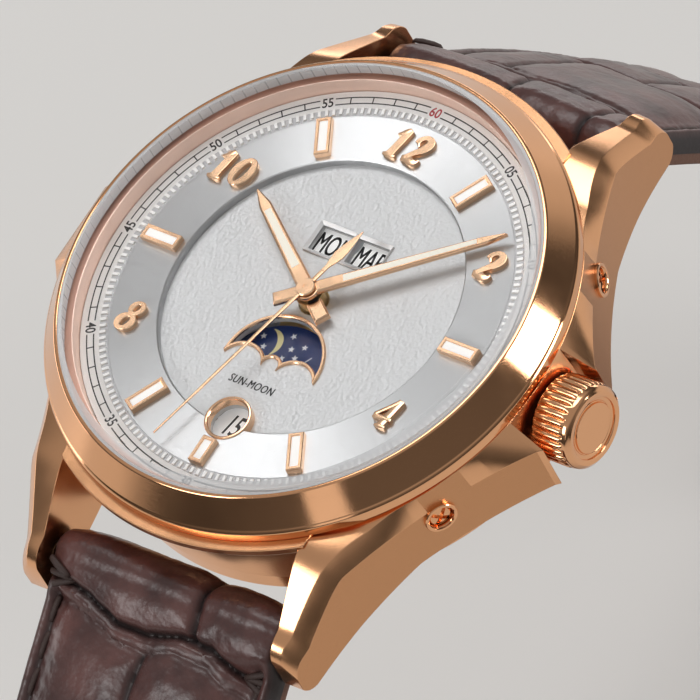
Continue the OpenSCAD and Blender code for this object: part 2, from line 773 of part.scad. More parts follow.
module hour_ring() at_dial() color("#b9bbbe") translate([0, 0, -ring_t]) linear_extrude(ring_t) difference() {
  circle(serrated_in_r);
  circle(hour_in_r);
  translate([0, -date_y]) circle(date_r + frame_w);
}

module serrated_ring() at_dial() color("#ecebe8") rotate_extrude() polygon([
  [serrated_in_r, -ring_t], [track_in_r, -ring_t],
  [track_in_r, serrated_z[0]], [serrated_in_r, serrated_z[1]],
]);

module minute_track() at_dial() color("#f2f1ee") ring(track_r, track_in_r, -ring_t, 0);

module bar_shape(place, cut, z0, z1) {
  rotate([0, 0, -30 * place[0]]) translate([-bar_w / 2 + cut, place[2] - place[1] / 2 + cut, z0])
    cube([bar_w - 2 * cut, place[1] - 2 * cut, z1 - z0]);
}

module hour_bars() at_dial() color(gold) for (p = bar_places) difference() {
  bar_shape(p, 0, 0, bar_h);
  bar_shape(p, bar_wall, bar_h - inlay_d, bar_h + cut);
}

module bar_inlays() at_dial() color("white") for (p = bar_places)
  bar_shape(p, bar_wall, bar_h - inlay_d, bar_h - inlay_sink);

// One pen stroke through points, drawn as one outline with a constant width
function turned(a, b) = let (d = b - a, l = norm(d)) [-d[1] / l, d[0] / l];
function stroke_side(p, w) = [
  for (i = [0:len(p) - 1])
    let (n = turned(p[max(0, i - 1)], p[min(len(p) - 1, i + 1)])) p[i] + n * w / 2
];
function lean(p) = [p[0] + numeral_lean * p[1], p[1]];

module stroke(points, w) {
  p = [for (q = points) lean(q) * numeral_h];
  left = stroke_side(p, w * numeral_h);
  right = stroke_side(p, -w * numeral_h);
  polygon(concat(left, [for (i = [len(p) - 1:-1:0]) right[i]]));
}

function loop_side(c, rx, ry) =
  [for (a = [0:15:345]) lean([c[0] + rx * cos(a), c[1] + ry * sin(a)]) * numeral_h];

module loop(c, rx, ry, w) {
  difference() {
    polygon(loop_side(c, rx + w / 2, ry + w / 2));
    polygon(loop_side(c, rx - w / 2, ry - w / 2));
  }
}

module digit(d) {
  if (d == 0) loop([0.3, 0.5], 0.2, 0.42, pen);
  if (d == 1) {
    stroke([[0.02, 0.72], [0.26, 0.93]], pen);
    stroke([[0.24, 1], [0.24, 0]], pen);
  }
  if (d == 2) {
    stroke(concat(
      [for (a = [200:-20:-40]) [0.3 + 0.22 * cos(a), 0.7 + 0.23 * sin(a)]],
      [[0.05, 0.08]]
    ), pen);
    stroke([[0.02, 0.08], [0.55, 0.08]], pen);
  }
  if (d == 4) {
    stroke([[0.42, 0.98], [0.04, 0.3]], pen);
    stroke([[0, 0.28], [0.6, 0.28]], pen);
    stroke([[0.42, 1], [0.42, 0]], pen);
  }
  if (d == 8) {
    loop([0.3, 0.74], 0.15, 0.17, pen);
    loop([0.3, 0.27], 0.2, 0.2, pen);
  }
}

module hour_numerals() at_dial() color(gold) linear_extrude(numeral_t) for (n = numerals) {
  count = len(n[1]);
  for (i = [0:count - 1])
    translate([n[0][0] + (i - count / 2) * digit_pitch * numeral_h - digit_shift, n[0][1] - numeral_h / 2])
      digit(n[1][i]);
}

module calendar_frame() at_dial() color("#e6e6e4") translate([0, 0, -ring_t])
  linear_extrude(calendar_frame_t) difference() {
    translate([calendar_frame_x, calendar_y]) square(calendar_frame_size, center = true);
    calendar_opening();
  }

module moon_frame() at_dial() color(gold) translate([0, 0, -ring_t])
  linear_extrude(moon_frame_t) difference() {
    moon_opening(frame_w);
    moon_opening(0);
  }

module date_frame() at_dial() color(gold) translate([0, -date_y, 0])
  ring(date_r + frame_w, date_r, -ring_t, date_frame_top_z);

module calendar_disc(x, teeth) color("white") translate([x, calendar_y, 0]) difference() {
  toothed(disc_r, teeth, calendar_tooth_d, day_disc_z, day_disc_z + disc_t);
  disc(post_r + run_fit, day_disc_z - cut, day_disc_z + cut);
}

module day_disc() at_dial() calendar_disc(-disc_x, day_teeth);
module month_disc() at_dial() calendar_disc(disc_x, month_teeth);

module date_ring() at_dial() color("white") difference() {
  ring(date_ring_out, date_ring_in, date_ring_z, date_ring_z + disc_t);
  for (i = [1:days_in_ring]) rotate([0, 0, i * 360 / days_in_ring]) translate([date_ring_in, 0, 0])
    disc(ring_notch_r, date_ring_z - cut, date_ring_z + cut);
}

module sun_moon_disc() at_dial() color("#132a5e") translate([0, -moon_y, 0]) difference() {
  disc(moon_disc_r, moon_disc_z, moon_disc_z + disc_t);
  disc(post_r + run_fit, moon_disc_z - cut, moon_disc_z + cut);
}

module calendar_plate() at_dial() color(brass) {
  difference() {
    union() {
      disc(movement_r, calendar_z[0], calendar_z[1]);
      ring(movement_r, date_ring_out - calendar_seat, calendar_z[0], date_ring_z - level_gap);
      ring(movement_r, date_ring_out + run_fit, calendar_z[0], day_disc_z - 2 * level_gap);
    }
    disc(calendar_hole_r, calendar_z[0] - cut, calendar_z[1] + cut);
  }
  for (x = [-disc_x, disc_x]) {
    disc_at([x, calendar_y], post_r, calendar_z[1], day_disc_z + disc_t);
    disc_at([x, calendar_y], post_r + calendar_seat, calendar_z[1], day_disc_z - level_gap);
  }
  disc_at([0, -moon_y], post_r, calendar_z[1], moon_disc_z + disc_t);
}

// Outline of a baton hand that points to 12, with a tail and a pointed tip
module baton(l, w) {
  polygon([
    [-w / 2, -hand_tail], [w / 2, -hand_tail], [w / 2, l - hand_tip_l],
    [hand_tip_w / 2, l], [-hand_tip_w / 2, l], [-w / 2, l - hand_tip_l],
  ]);
  circle(hand_hub_r);
}

module hand_slot(l, w, z0, z1) {
  translate([-w / 4, hand_slot_y, z0]) cube([w / 2, l - hand_slot_y - hand_slot_end, z1 - z0]);
}

module hour_hand() at_dial() color(gold) rotate([0, 0, -hour_turn]) difference() {
  translate([0, 0, hour_hand_z[0]]) linear_extrude(hour_hand_z[1] - hour_hand_z[0]) difference() {
    baton(hour_l, hour_hand_w);
    circle(hour_pipe_r);
  }
  hand_slot(hour_l, hand_w, hour_hand_z[1] - inlay_t, hour_hand_z[1] + cut);
}

module hour_hand_inlay() at_dial() color("#fff4dc") rotate([0, 0, -hour_turn])
  hand_slot(hour_l, hand_w, hour_hand_z[1] - inlay_t, hour_hand_z[1]);

module hour_wheel() at_dial() color(brass) difference() {
  union() {
    toothed(hour_wheel_gear[0], hour_wheel_gear[1], hour_wheel_gear[2], hour_wheel_z[0], hour_wheel_z[1]);
    disc(hour_pipe_r, hour_wheel_z[0], hour_hand_z[1]);
  }
  disc(cannon_r + run_fit, plate_z[0], hour_hand_z[1] + cut);
}

module minute_hand() at_dial() color(gold) rotate([0, 0, -minute_turn]) difference() {
  translate([0, 0, minute_hand_z[0]]) linear_extrude(minute_hand_z[1] - minute_hand_z[0]) difference() {
    baton(minute_l, hand_w);
    circle(cannon_r);
  }
  hand_slot(minute_l, hand_w, minute_hand_z[1] - inlay_t, minute_hand_z[1] + cut);
}

module minute_hand_inlay() at_dial() color("#fff4dc") rotate([0, 0, -minute_turn])
  hand_slot(minute_l, hand_w, minute_hand_z[1] - inlay_t, minute_hand_z[1]);

module center_wheel() at_dial() color(brass) difference() {
  union() {
    gear(center_gear, plate_z[0], -1);
    gear(center_pinion, plate_z[0], -1);
    disc(cannon_r, plate_z[0] - center_pinion[3][1] - run_fit, minute_hand_z[1]);
  }
  disc(seconds_arbor_r + run_fit, plate_z[0] - cut, minute_hand_z[1] + cut);
}

module seconds_hand() at_dial() color(gold) rotate([0, 0, -second_turn]) {
  translate([0, 0, seconds_hand_z[0]]) linear_extrude(seconds_hand_z[1] - seconds_hand_z[0]) {
    polygon([
      [-needle_w[0] / 2, 0], [-needle_w[1] / 2, seconds_l],
      [needle_w[1] / 2, seconds_l], [needle_w[0] / 2, 0],
    ]);
    polygon([
      [-leaf_w[0] / 2, 0], [-leaf_w[0] / 2, leaf_y[0]], [-leaf_w[1] / 2, leaf_y[1]], [0, leaf_y[2]],
      [leaf_w[1] / 2, leaf_y[1]], [leaf_w[0] / 2, leaf_y[0]], [leaf_w[0] / 2, 0],
    ]);
    circle(seconds_hub_r);
  }
  disc(seconds_arbor_r, bridge_z[1] + run_fit, seconds_hand_z[1]);
  gear([seconds_pinion[0], pinion_count, fine_tooth_d, seconds_pinion[1]], bridge_z[1], 1);
}

module main_plate() at_dial() color(brass) difference() {
  disc(movement_r, plate_z[0], plate_z[1]);
  disc(cannon_r + run_fit, plate_z[0] - cut, plate_z[1] + cut);
  translate([stem_x - 0.3, -pinion_r - pinion_room, crown_z])
    cube([movement_r, 2 * (pinion_r + pinion_room), pinion_r + 0.1]);
}

// Wheel with its pinion and arbor, between the main plate and the train bridge
module train_wheel(p, wheel, pinion, low = end_shake) {
  color(brass) translate([p[0], p[1], 0]) {
    gear([wheel[0], wheel[1], train_tooth_d, [wheel[2] + train_t, wheel[2]]], plate_z[0], -1);
    gear([pinion[0], pinion_count, fine_tooth_d, pinion[1]], plate_z[0], -1);
    disc(arbor_r, bridge_z[1] + low, plate_z[0] - end_shake);
  }
}

module barrel() at_dial() color(brass) translate([barrel_at[0], barrel_at[1], 0]) {
  gear(barrel_gear, plate_z[0], -1);
  disc(barrel_drum[0], plate_z[0] - barrel_drum[1][0], plate_z[0] - barrel_drum[1][1]);
  disc(barrel_arbor_r, bridge_z[1] + end_shake, plate_z[0] - end_shake);
}

module third_wheel() at_dial() {
  train_wheel(third_at, third_gear, third_pinion);
  color(brass) translate([third_at[0], third_at[1], 0]) gear(third_upper, bridge_z[1], 1);
}

module fourth_wheel() at_dial()
  train_wheel(fourth_at, fourth_gear, fourth_pinion, fourth_low);

module escape_wheel() at_dial()
  train_wheel(escape_at, escape_gear, escape_pinion);

module pallet_fork() at_dial() color(steel) translate([fork_at[0], fork_at[1], 0]) {
  to_balance = atan2(balance_at[1] - fork_at[1], balance_at[0] - fork_at[0]);
  translate([0, 0, fork_z]) linear_extrude(train_t) rotate(to_balance) {
    translate([0, -fork_lever[1] / 2]) square(fork_lever);
    square(fork_arms, center = true);
    circle(fork_hub_r);
  }
  disc(fork_arbor_r, bridge_z[1] + end_shake, plate_z[0] - end_shake);
}

module balance_wheel() at_dial() color(brass) translate([balance_at[0], balance_at[1], 0]) {
  ring(balance_r, balance_r - balance_rim_w, balance_rim_z[0], balance_rim_z[1]);
  for (a = [0, 90]) rotate([0, 0, a])
    translate([-balance_r + balance_rim_w / 2, -balance_arm[0] / 2, balance_rim_z[0]])
      cube([2 * balance_r - balance_rim_w, balance_arm[0], balance_arm[1]]);
  disc(balance_staff_r, cock_z[1] + end_shake, plate_z[0] - end_shake);
  disc(roller_r, roller_z[0], roller_z[1]);
}

module train_bridge() at_dial() color(steel) difference() {
  union() {
    disc(movement_r, bridge_z[0], bridge_z[1]);
    for (a = bridge_feet) rotate([0, 0, a]) translate([movement_r - bridge_foot_in, 0, 0])
      disc(bridge_foot_r, bridge_z[1], plate_z[0]);
  }
  disc_at(balance_at, balance_r + balance_room, bridge_z[0] - cut, bridge_z[1] + cut);
  translate([balance_at[0] + balance_staff_r, -movement_r - 1, bridge_z[0] - cut])
    cube([bridge_notch[0], bridge_notch[1], 2 * cut]);
}

module balance_cock() at_dial() color(steel) {
  difference() {
    translate([balance_at[0] - cock_w / 2, cock_y[0], cock_z[0]])
      cube([cock_w, cock_y[1] - cock_y[0], cock_z[1] - cock_z[0]]);
    disc_at(balance_at, jewel_r, cock_z[0] - cut, cock_z[0] + jewel_d);
  }
  translate([balance_at[0] - cock_w / 2, cock_y[1] - cock_foot_l, cock_z[1]])
    cube([cock_w, cock_foot_l, bridge_z[0] - cock_z[1]]);
}

module rotor() at_dial() color(gold) difference() {
  union() {
    intersection() {
      union() {
        disc(rotor_r, rotor_z[0], rotor_z[1]);
        ring(rotor_r, rotor_r - rotor_rim_w, rotor_rim_z[0], rotor_rim_z[1]);
      }
      translate([-rotor_r - 1, -rotor_r - 1, rotor_rim_z[0] - cut])
        cube([2 * rotor_r + 2, rotor_r + 1, 2 * cut]);
    }
    disc(bearing_r + rotor_hub_w, rotor_z[0], rotor_z[1]);
  }
  disc(bearing_r + fit, rotor_rim_z[0] - cut, rotor_rim_z[1] + cut);
  for (a = rotor_holes) rotate([0, 0, a]) translate([rotor_hole_at, 0, 0])
    disc(rotor_hole_r, rotor_z[0] - cut, rotor_z[1] + cut);
}

module rotor_bearing() at_dial() color(steel) difference() {
  disc(bearing_r, rotor_z[0] - 0.1, bridge_z[0]);
  disc(bearing_eye_r, rotor_z[0] - cut, rotor_z[0] + 0.1);
}

module spring_bars() at_dial() color(steel) for (s = [-1, 1]) translate([0, s * bar_y, bar_z]) {
  rod_x(bar_r, -lug_gap / 2 + 0.1, lug_gap / 2 - 0.1);
  rod_x(bar_tip_r, -lug_gap / 2 - bar_tip_l, lug_gap / 2 + bar_tip_l);
}

// Layer of a strap half from offset lo, which is fixed, up to the padded top or to offset hi
module strap_layer(path, side, l, tip, lo, hi, crowned, stop = long_l) {
  first = crowned ? [leather_first_s, fold_s[0]] : [];
  loft([
    for (s = concat(first, stations(l, tip, stop)))
      let (
        w = half_width(s, l, tip),
        top = crowned ? hi + pad(s) : hi,
        edge = crowned ? lo + side_share * (top - lo) : hi,
        q = crowned
          ? [[-w, lo], [w, lo], [w, edge], [flat_share * w, top], [-flat_share * w, top], [-w, edge]]
          : [[-w, lo], [w, lo], [w, hi], [-w, hi]],
        order = side > 0 ? [len(q) - 1:-1:0] : [0:len(q) - 1]
      )
      [for (k = order) strap_point(path, side, s, q[k][0], q[k][1])]
  ]);
}

// Moves children from a plain frame, Y along the strap and Z proud of it, to s along the path
module on_strap(path, side, s) {
  p = path_point(path, s);
  translate([0, side * (bar_y + p[0]), dial_z + bar_z + p[1]])
    rotate([-side * p[2], 0, 0])
      mirror([0, side > 0 ? 0 : 1, 0]) children();
}

module strap_holes() {
  for (i = [0:hole_count - 1]) on_strap(long_path, -1, hole_first + i * hole_pitch)
    disc(hole_r, -cut, cut);
}

module lug_bore(side) {
  translate([0, side * bar_y, dial_z + bar_z]) rod_x(bar_r + bar_fit, -strap_w, strap_w);
}

module lug_wrap(side) {
  translate([0, side * bar_y, dial_z + bar_z]) rod_x(strap_end_r, -strap_w / 2, strap_w / 2);
}

module strap_12_leather() color(leather) difference() {
  union() {
    lug_wrap(1);
    strap_layer(short_path, 1, short_l - wrap_gap_s, 0, lining_t - half_t, half_t, true);
    on_strap(short_path, 1, short_l)
      rod_x(wrap_r, 2 * run_fit - strap_end_w / 2, strap_end_w / 2 - 2 * run_fit);
  }
  lug_bore(1);
  on_strap(short_path, 1, short_l) rod_x(buckle_bar_r + bar_fit, -strap_end_w, strap_end_w);
  on_strap(short_path, 1, short_l) translate([-tongue_w / 2 - tongue_room[0], -tongue_room[1], -cut])
    cube([tongue_w + 2 * tongue_room[0], tongue_room[1] + tongue_room[2], 2 * cut]);
}

module strap_12_lining() color("#7a4a35")
  strap_layer(short_path, 1, short_l - wrap_gap_s, 0, -half_t, lining_t - half_t, false, lining_stop_s);

module strap_6_leather() color(leather) difference() {
  union() {
    lug_wrap(-1);
    strap_layer(long_path, -1, long_l, tip_l, lining_t - half_t, half_t, true);
  }
  lug_bore(-1);
  strap_holes();
}

module strap_6_lining() color("#7a4a35") difference() {
  strap_layer(long_path, -1, long_l, tip_l, -half_t, lining_t - half_t, false);
  strap_holes();
}

module at_buckle() {
  translate([0, bar_y + short_end[0], dial_z + bar_z + short_end[1]]) rotate([buckle_turn, 0, 0]) children();
}

module buckle_bar() at_buckle() color(steel) {
  rod_x(buckle_bar_r, -strap_end_w / 2 - buckle_bar_over, strap_end_w / 2 + buckle_bar_over);
  rod_x(buckle_rod_tip_r, -buckle_in - buckle_pin_l, buckle_in + buckle_pin_l);
}

module buckle_frame() at_buckle() color(gold) difference() {
  union() {
    for (s = [0, 1]) mirror([s, 0, 0]) {
      rod_x(buckle_eye_r, buckle_in, buckle_in + buckle_leg_w);
      translate([buckle_in, -buckle_l + buckle_rod_r, -buckle_leg_t / 2])
        cube([buckle_leg_w, buckle_l - buckle_rod_r, buckle_leg_t]);
    }
    translate([0, -buckle_l + buckle_rod_r, 0])
      rod_x(buckle_rod_r, -buckle_in - buckle_leg_w, buckle_in + buckle_leg_w);
  }
  rod_x(buckle_rod_tip_r + fit, -buckle_hole_x, buckle_hole_x);
  translate([-tongue_w / 2 - tongue_side_fit, -buckle_l - 1, -buckle_rod_r - 1])
    cube([tongue_w + 2 * tongue_side_fit, 2 * buckle_rod_r + 2, 1 + tongue_seat_d]);
}

module buckle_tongue() at_buckle() color(gold) difference() {
  union() {
    rod_x(tongue_eye_r, -tongue_w / 2, tongue_w / 2);
    rotate([tongue_drop, 0, 0]) translate([-tongue_w / 2, -buckle_l + tongue_short, -tongue_t / 2])
      cube([tongue_w, buckle_l - 2 * tongue_short, tongue_t]);
  }
  rod_x(buckle_bar_r + bar_fit, -tongue_w, tongue_w);
}
// Band round the strap, with room for the other half's tip over the leather
module keeper(s) {
  w = strap_width(s) / 2 + keeper_gap;
  lo = -half_t - keeper_gap;
  hi = half_t + pad(s) + keeper_room;
  on_strap(short_path, 1, s) translate([0, -keeper_w / 2, 0]) difference() {
    translate([-w - keeper_t, 0, lo - keeper_t]) cube([2 * (w + keeper_t), keeper_w, hi - lo + 2 * keeper_t]);
    translate([-w, -cut, lo]) cube([2 * w, keeper_w + 2 * cut, hi - lo]);
  }
}

module fixed_keeper() color(leather) keeper(fixed_keeper_s);
module free_keeper() color(leather) keeper(free_keeper_s);

case_middle();
bezel();
crystal();
crystal_gasket();
case_back();
back_crystal();
back_gasket();
back_screws();
movement_holder();
crown_tube();
crown();
winding_stem();
crown_gasket();
sliding_pinion();
corrector_2();
corrector_4();
corrector_collars();
dial_plate();
hour_ring();
serrated_ring();
minute_track();
hour_bars();
bar_inlays();
hour_numerals();
calendar_frame();
moon_frame();
date_frame();
day_disc();
month_disc();
date_ring();
sun_moon_disc();
calendar_plate();
hour_hand();
hour_hand_inlay();
hour_wheel();
minute_hand();
minute_hand_inlay();
center_wheel();
seconds_hand();
main_plate();
barrel();
third_wheel();
fourth_wheel();
escape_wheel();
pallet_fork();
balance_wheel();
balance_cock();
train_bridge();
rotor();
rotor_bearing();
spring_bars();
strap_12_leather();
strap_12_lining();
strap_6_leather();
strap_6_lining();
buckle_frame();
buckle_bar();
buckle_tongue();
fixed_keeper();
free_keeper();
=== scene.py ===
from math import acos, asin, atan2, copysign, cos, degrees, exp, hypot, pi, radians, sin, sqrt, tau
import bpy
import bmesh
from mathutils import Matrix, Vector, noise


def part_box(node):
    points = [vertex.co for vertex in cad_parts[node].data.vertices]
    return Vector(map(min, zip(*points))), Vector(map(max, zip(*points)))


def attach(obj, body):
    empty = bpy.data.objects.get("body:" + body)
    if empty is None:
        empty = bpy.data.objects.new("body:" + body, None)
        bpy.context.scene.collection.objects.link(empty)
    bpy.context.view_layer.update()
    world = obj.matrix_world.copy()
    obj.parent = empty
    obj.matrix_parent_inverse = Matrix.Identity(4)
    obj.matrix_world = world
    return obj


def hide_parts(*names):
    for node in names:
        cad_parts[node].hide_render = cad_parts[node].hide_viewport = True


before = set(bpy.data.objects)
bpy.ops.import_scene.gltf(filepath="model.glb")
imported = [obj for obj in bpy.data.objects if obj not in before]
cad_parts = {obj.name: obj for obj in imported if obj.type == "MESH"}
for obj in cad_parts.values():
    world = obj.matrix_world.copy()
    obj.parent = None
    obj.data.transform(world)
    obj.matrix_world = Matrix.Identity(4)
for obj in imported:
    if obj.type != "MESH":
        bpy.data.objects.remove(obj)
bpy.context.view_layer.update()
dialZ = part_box("hour_ring")[1].z * 1000  # height of the dial's face above the table, in mm
toMetres = Matrix.Translation((0, 0, dialZ / 1000)) @ Matrix.Diagonal((0.001, 0.001, 0.001, 1))
quarter = pi / 2
origin = (0, 0, 0)


def placed(name, data):
    piece = bpy.data.objects.new(name, data)
    bpy.context.collection.objects.link(piece)
    return piece


# Finishes: groups put out masks and heights, and each finish sets its own values

def feed(tree, node, values):
    # Sockets are linked, everything else is set
    for key, value in values.items():
        if isinstance(value, bpy.types.NodeSocket):
            tree.links.new(value, node.inputs[key])
        else:
            node.inputs[key].default_value = value


def put(tree, kind, values=None, **settings):
    node = tree.nodes.new("ShaderNode" + kind)
    for key, value in settings.items():
        setattr(node, key, value)
    feed(tree, node, values or {})
    return node


def mixed(tree, kind, a, b, share):
    return put(tree, "Mix", {"Factor": share, "A": a, "B": b}, data_type=kind).outputs["Result"]


def newGroup(name, takes, gives):
    # A tuple makes a vector socket, a number a float one
    tree = bpy.data.node_groups.new(name, "ShaderNodeTree")
    for way, sockets in (("INPUT", takes), ("OUTPUT", gives)):
        for socket, value in sockets.items():
            kind = "NodeSocketVector" if isinstance(value, tuple) else "NodeSocketFloat"
            tree.interface.new_socket(socket, in_out=way, socket_type=kind).default_value = value
    return tree, tree.nodes.new("NodeGroupInput").outputs, tree.nodes.new("NodeGroupOutput")


def shade(finish, values):
    feed(finish.node_tree, finish.node_tree.nodes["Principled BSDF"], values)


def newFinish(name, values):
    finish = bpy.data.materials.new(name)
    finish.use_nodes = True
    shade(finish, values)
    return finish


def useGroup(finish, group, values=None):
    node = finish.node_tree.nodes.new("ShaderNodeGroup")
    node.node_tree = group
    feed(finish.node_tree, node, values or {})
    return node.outputs


def makeDialCoords():
    # Object coordinates in mm from the dial's centre, straight and polar
    tree, _, gives = newGroup("dialCoords", {}, {"Vector": origin, "Polar": origin})
    coords = put(tree, "TexCoord")
    scaled = put(tree, "VectorMath", {0: coords.outputs["Object"], "Scale": 1000}, operation="SCALE")
    moved = put(tree, "VectorMath", {0: scaled.outputs[0], 1: (0, 0, dialZ)}, operation="SUBTRACT")
    split = put(tree, "SeparateXYZ", {0: moved.outputs[0]}).outputs
    turn = put(tree, "Math", {0: split["Y"], 1: split["X"]}, operation="ARCTAN2")
    flat = put(tree, "CombineXYZ", {"X": split["X"], "Y": split["Y"]})
    reach = put(tree, "VectorMath", {0: flat.outputs[0]}, operation="LENGTH")
    polar = put(tree, "CombineXYZ", {"X": turn.outputs[0], "Y": reach.outputs["Value"], "Z": split["Z"]})
    feed(tree, gives, {"Vector": moved.outputs[0], "Polar": polar.outputs[0]})
    return tree


def makeMarks(name, scale, detail, stretch, lines):
    # Noise as roughness between Low and High, with drawn-out noise as height
    sockets = {"Vector": origin, "Stretch": stretch, "Low": 0.1, "High": 0.2}
    tree, takes, gives = newGroup(name, sockets, {"Roughness": 0, "Height": 0})
    drawnOut = put(tree, "VectorMath", {0: takes["Vector"], 1: takes["Stretch"]}, operation="MULTIPLY")
    height = put(tree, "TexNoise", {"Vector": drawnOut.outputs[0], **lines})
    tone = height
    if scale:
        tone = put(tree, "TexNoise", {"Vector": takes["Vector"], "Scale": scale, "Detail": detail})
    spread = put(tree, "MapRange", {
        "From Min": 0.3, "From Max": 0.7, "Value": tone.outputs[0],
        "To Min": takes["Low"], "To Max": takes["High"],
    })
    feed(tree, gives, {"Roughness": spread.outputs[0], "Height": height.outputs[0]})
    return tree


def makeGrain():
    # Fine grain of a matt plate, paint or hide
    sockets = {"Vector": origin, "Scale": 6, "Coarse": 0.5}
    tree, takes, gives = newGroup("grain", sockets, {"Height": 0, "Mask": 0})
    where = {"Vector": takes["Vector"], "Scale": takes["Scale"]}
    fine = put(tree, "TexNoise", {"Detail": 6, "Roughness": 0.7, **where})
    pores = put(tree, "TexVoronoi", where)
    height = mixed(tree, "FLOAT", fine.outputs[0], pores.outputs["Distance"], takes["Coarse"])
    feed(tree, gives, {"Height": height, "Mask": fine.outputs[0]})
    return tree


dialCoords = makeDialCoords()
# Faint smears with hairlines that polished metal picks up, and fine parallel lines
handling = makeMarks("handling", 0.35, 4, (0.6, 14, 9), {"Scale": 1.4, "Detail": 3})
brushing = makeMarks("brushing", 0, 0, (1, 40, 40), {"Scale": 1, "Detail": 5, "Roughness": 0.65})
grain = makeGrain()


def bumped(finish, height, strength, distance=0.0001):
    bump = put(finish.node_tree, "Bump", {"Strength": strength, "Distance": distance, "Height": height})
    shade(finish, {"Normal": bump.outputs[0]})
    return finish


def polished(name, colour, low=0.06, high=0.13, bump=0.02):
    finish = newFinish(name, {"Base Color": (*colour, 1), "Metallic": 1})
    where = useGroup(finish, dialCoords)["Vector"]
    marks = useGroup(finish, handling, {"Low": low, "High": high, "Vector": where})
    shade(finish, {"Roughness": marks["Roughness"]})
    return bumped(finish, marks["Height"], bump)


def brushed(name, colour, stretch, low=0.28, high=0.42, bump=0.12, polar=False, around=0.0):
    finish = newFinish(name, {"Base Color": (*colour, 1), "Metallic": 1, "Anisotropic": around})
    where = useGroup(finish, dialCoords)["Polar" if polar else "Vector"]
    lines = useGroup(finish, brushing, {"Stretch": stretch, "Low": low, "High": high, "Vector": where})
    shade(finish, {"Roughness": lines["Roughness"]})
    if around:
        tangent = put(finish.node_tree, "Tangent", direction_type="RADIAL", axis="Z")
        shade(finish, {"Tangent": tangent.outputs[0]})
    return bumped(finish, lines["Height"], bump)


def matt(name, colour, other, roughness=0.5, scale=6.0, coarse=0.5, bump=0.2, distance=0.00005, **more):
    others = {key.replace("_", " "): value for key, value in more.items()}
    finish = newFinish(name, {"Roughness": roughness, **others})
    where = useGroup(finish, dialCoords)["Vector"]
    fine = useGroup(finish, grain, {"Scale": scale, "Coarse": coarse, "Vector": where})
    shade(finish, {"Base Color": mixed(finish.node_tree, "RGBA", (*colour, 1), (*other, 1), fine["Mask"])})
    return bumped(finish, fine["Height"], bump, distance)


def glass(name, tint, coat):
    # Clear, with a reflecting outer face; light and shade pass straight through
    finish = newFinish(name, {
        "Base Color": (*tint, 1), "Roughness": 0, "IOR": 1.01, "Transmission Weight": 1,
        "Coat Weight": coat, "Coat Roughness": 0.02, "Coat IOR": 1.6,
    })
    tree = finish.node_tree
    path = put(tree, "LightPath").outputs
    either = put(tree, "Math", {0: path["Is Shadow Ray"], 1: path["Is Diffuse Ray"]}, operation="MAXIMUM")
    body, clear = tree.nodes["Principled BSDF"], put(tree, "BsdfTransparent")
    parted = put(tree, "MixShader", {0: either.outputs[0], 1: body.outputs[0], 2: clear.outputs[0]})
    feed(tree, tree.nodes["Material Output"], {"Surface": parted.outputs[0]})
    return finish


roseColour = (0.88, 0.46, 0.24)
roseGold = polished("roseGoldPolished", roseColour)
roseSoft = polished("roseGoldSoft", roseColour, 0.17, 0.25)
roseSatin = brushed("roseGoldSatin", (0.66, 0.33, 0.16), (6, 0.8, 40), 0.26, 0.36, 0.05)
roseInner = polished("roseGoldInner", (0.93, 0.72, 0.62), 0.5, 0.6)
roseHands = polished("roseGoldHands", (0.93, 0.6, 0.38), 0.14, 0.24)
rotorGold = brushed("rotorStriped", (0.85, 0.5, 0.3), (0.35, 9, 9), 0.16, 0.42, 0.25)
silverRing = brushed(
    "silverSunburst", (0.48, 0.484, 0.49), (90, 0.4, 1), 0.28, 0.4, 0.05, polar=True, around=0.8,
)
silverGrain = matt(
    "silverGrained", (0.58, 0.585, 0.59), (0.54, 0.545, 0.55), 0.42, 3.6, 0.35, 0.6, 0.00009, Metallic=0.35,
)
whitePaint = matt("whitePaint", (0.84, 0.84, 0.83), (0.8, 0.8, 0.79), 0.45, 5, 0.2, 0.1)
whiteTeeth = matt("whiteTeeth", (0.88, 0.88, 0.87), (0.84, 0.84, 0.83), 0.3, 5, 0.2, 0.05, Metallic=0.2)
# Painted shade: the grey given to the serrated ring's floor between the teeth stands for the shade in the
# grooves
paintedShadeGap = matt("paintedShadeGap", (0.5, 0.5, 0.51), (0.44, 0.44, 0.45), 0.4, 5, 0.2, 0.05, Metallic=0.2)
# Painted light: the hand and bar inlays glow a little by Emission Strength, so that they read bright cream
# and white
creamInlayGlow = matt(
    "creamInlayGlow", (0.95, 0.89, 0.76), (0.92, 0.85, 0.7), 0.4, 8, 0.3, 0.1, Emission_Strength=0.12,
)
whiteInlayGlow = matt(
    "whiteInlayGlow", (0.93, 0.92, 0.89), (0.92, 0.91, 0.88), 0.35, 8, 0.3, 0.08, Emission_Strength=0.2,
)
blackInk = matt("blackInk", (0.012, 0.012, 0.014), (0.02, 0.02, 0.02), 0.5, 9, 0.3, 0.1)
redInk = matt("redInk", (0.42, 0.02, 0.035), (0.36, 0.02, 0.03), 0.5, 9, 0.3, 0.1)
steelPolished = polished("steelPolished", (0.66, 0.67, 0.69), 0.1, 0.2)
steelStriped = brushed("steelStriped", (0.6, 0.61, 0.63), (0.5, 22, 22), 0.2, 0.4, 0.2)
steelSoft = brushed("steelBrushed", (0.55, 0.56, 0.58), (16, 16, 2), 0.25, 0.4, 0.1)
brassBrushed = brushed("brassBrushed", (0.72, 0.5, 0.22), (18, 18, 3), 0.28, 0.42, 0.1)
brassPolished = polished("brassPolished", (0.78, 0.55, 0.25), 0.12, 0.22)
blackRubber = matt("blackRubber", (0.02, 0.02, 0.021), (0.03, 0.03, 0.03), 0.6, 7, 0.4, 0.2)
whiteGasket = matt("whiteGasket", (0.72, 0.73, 0.74), (0.66, 0.67, 0.68), 0.35, 6, 0.3, 0.1)
crystalEdge = matt("crystalEdge", (0.8, 0.81, 0.82), (0.74, 0.75, 0.77), 0.6, 3, 0.2, 0.03, Alpha=0.58)
clearCrystal = glass("clearCrystal", (1, 1, 1), 0.14)
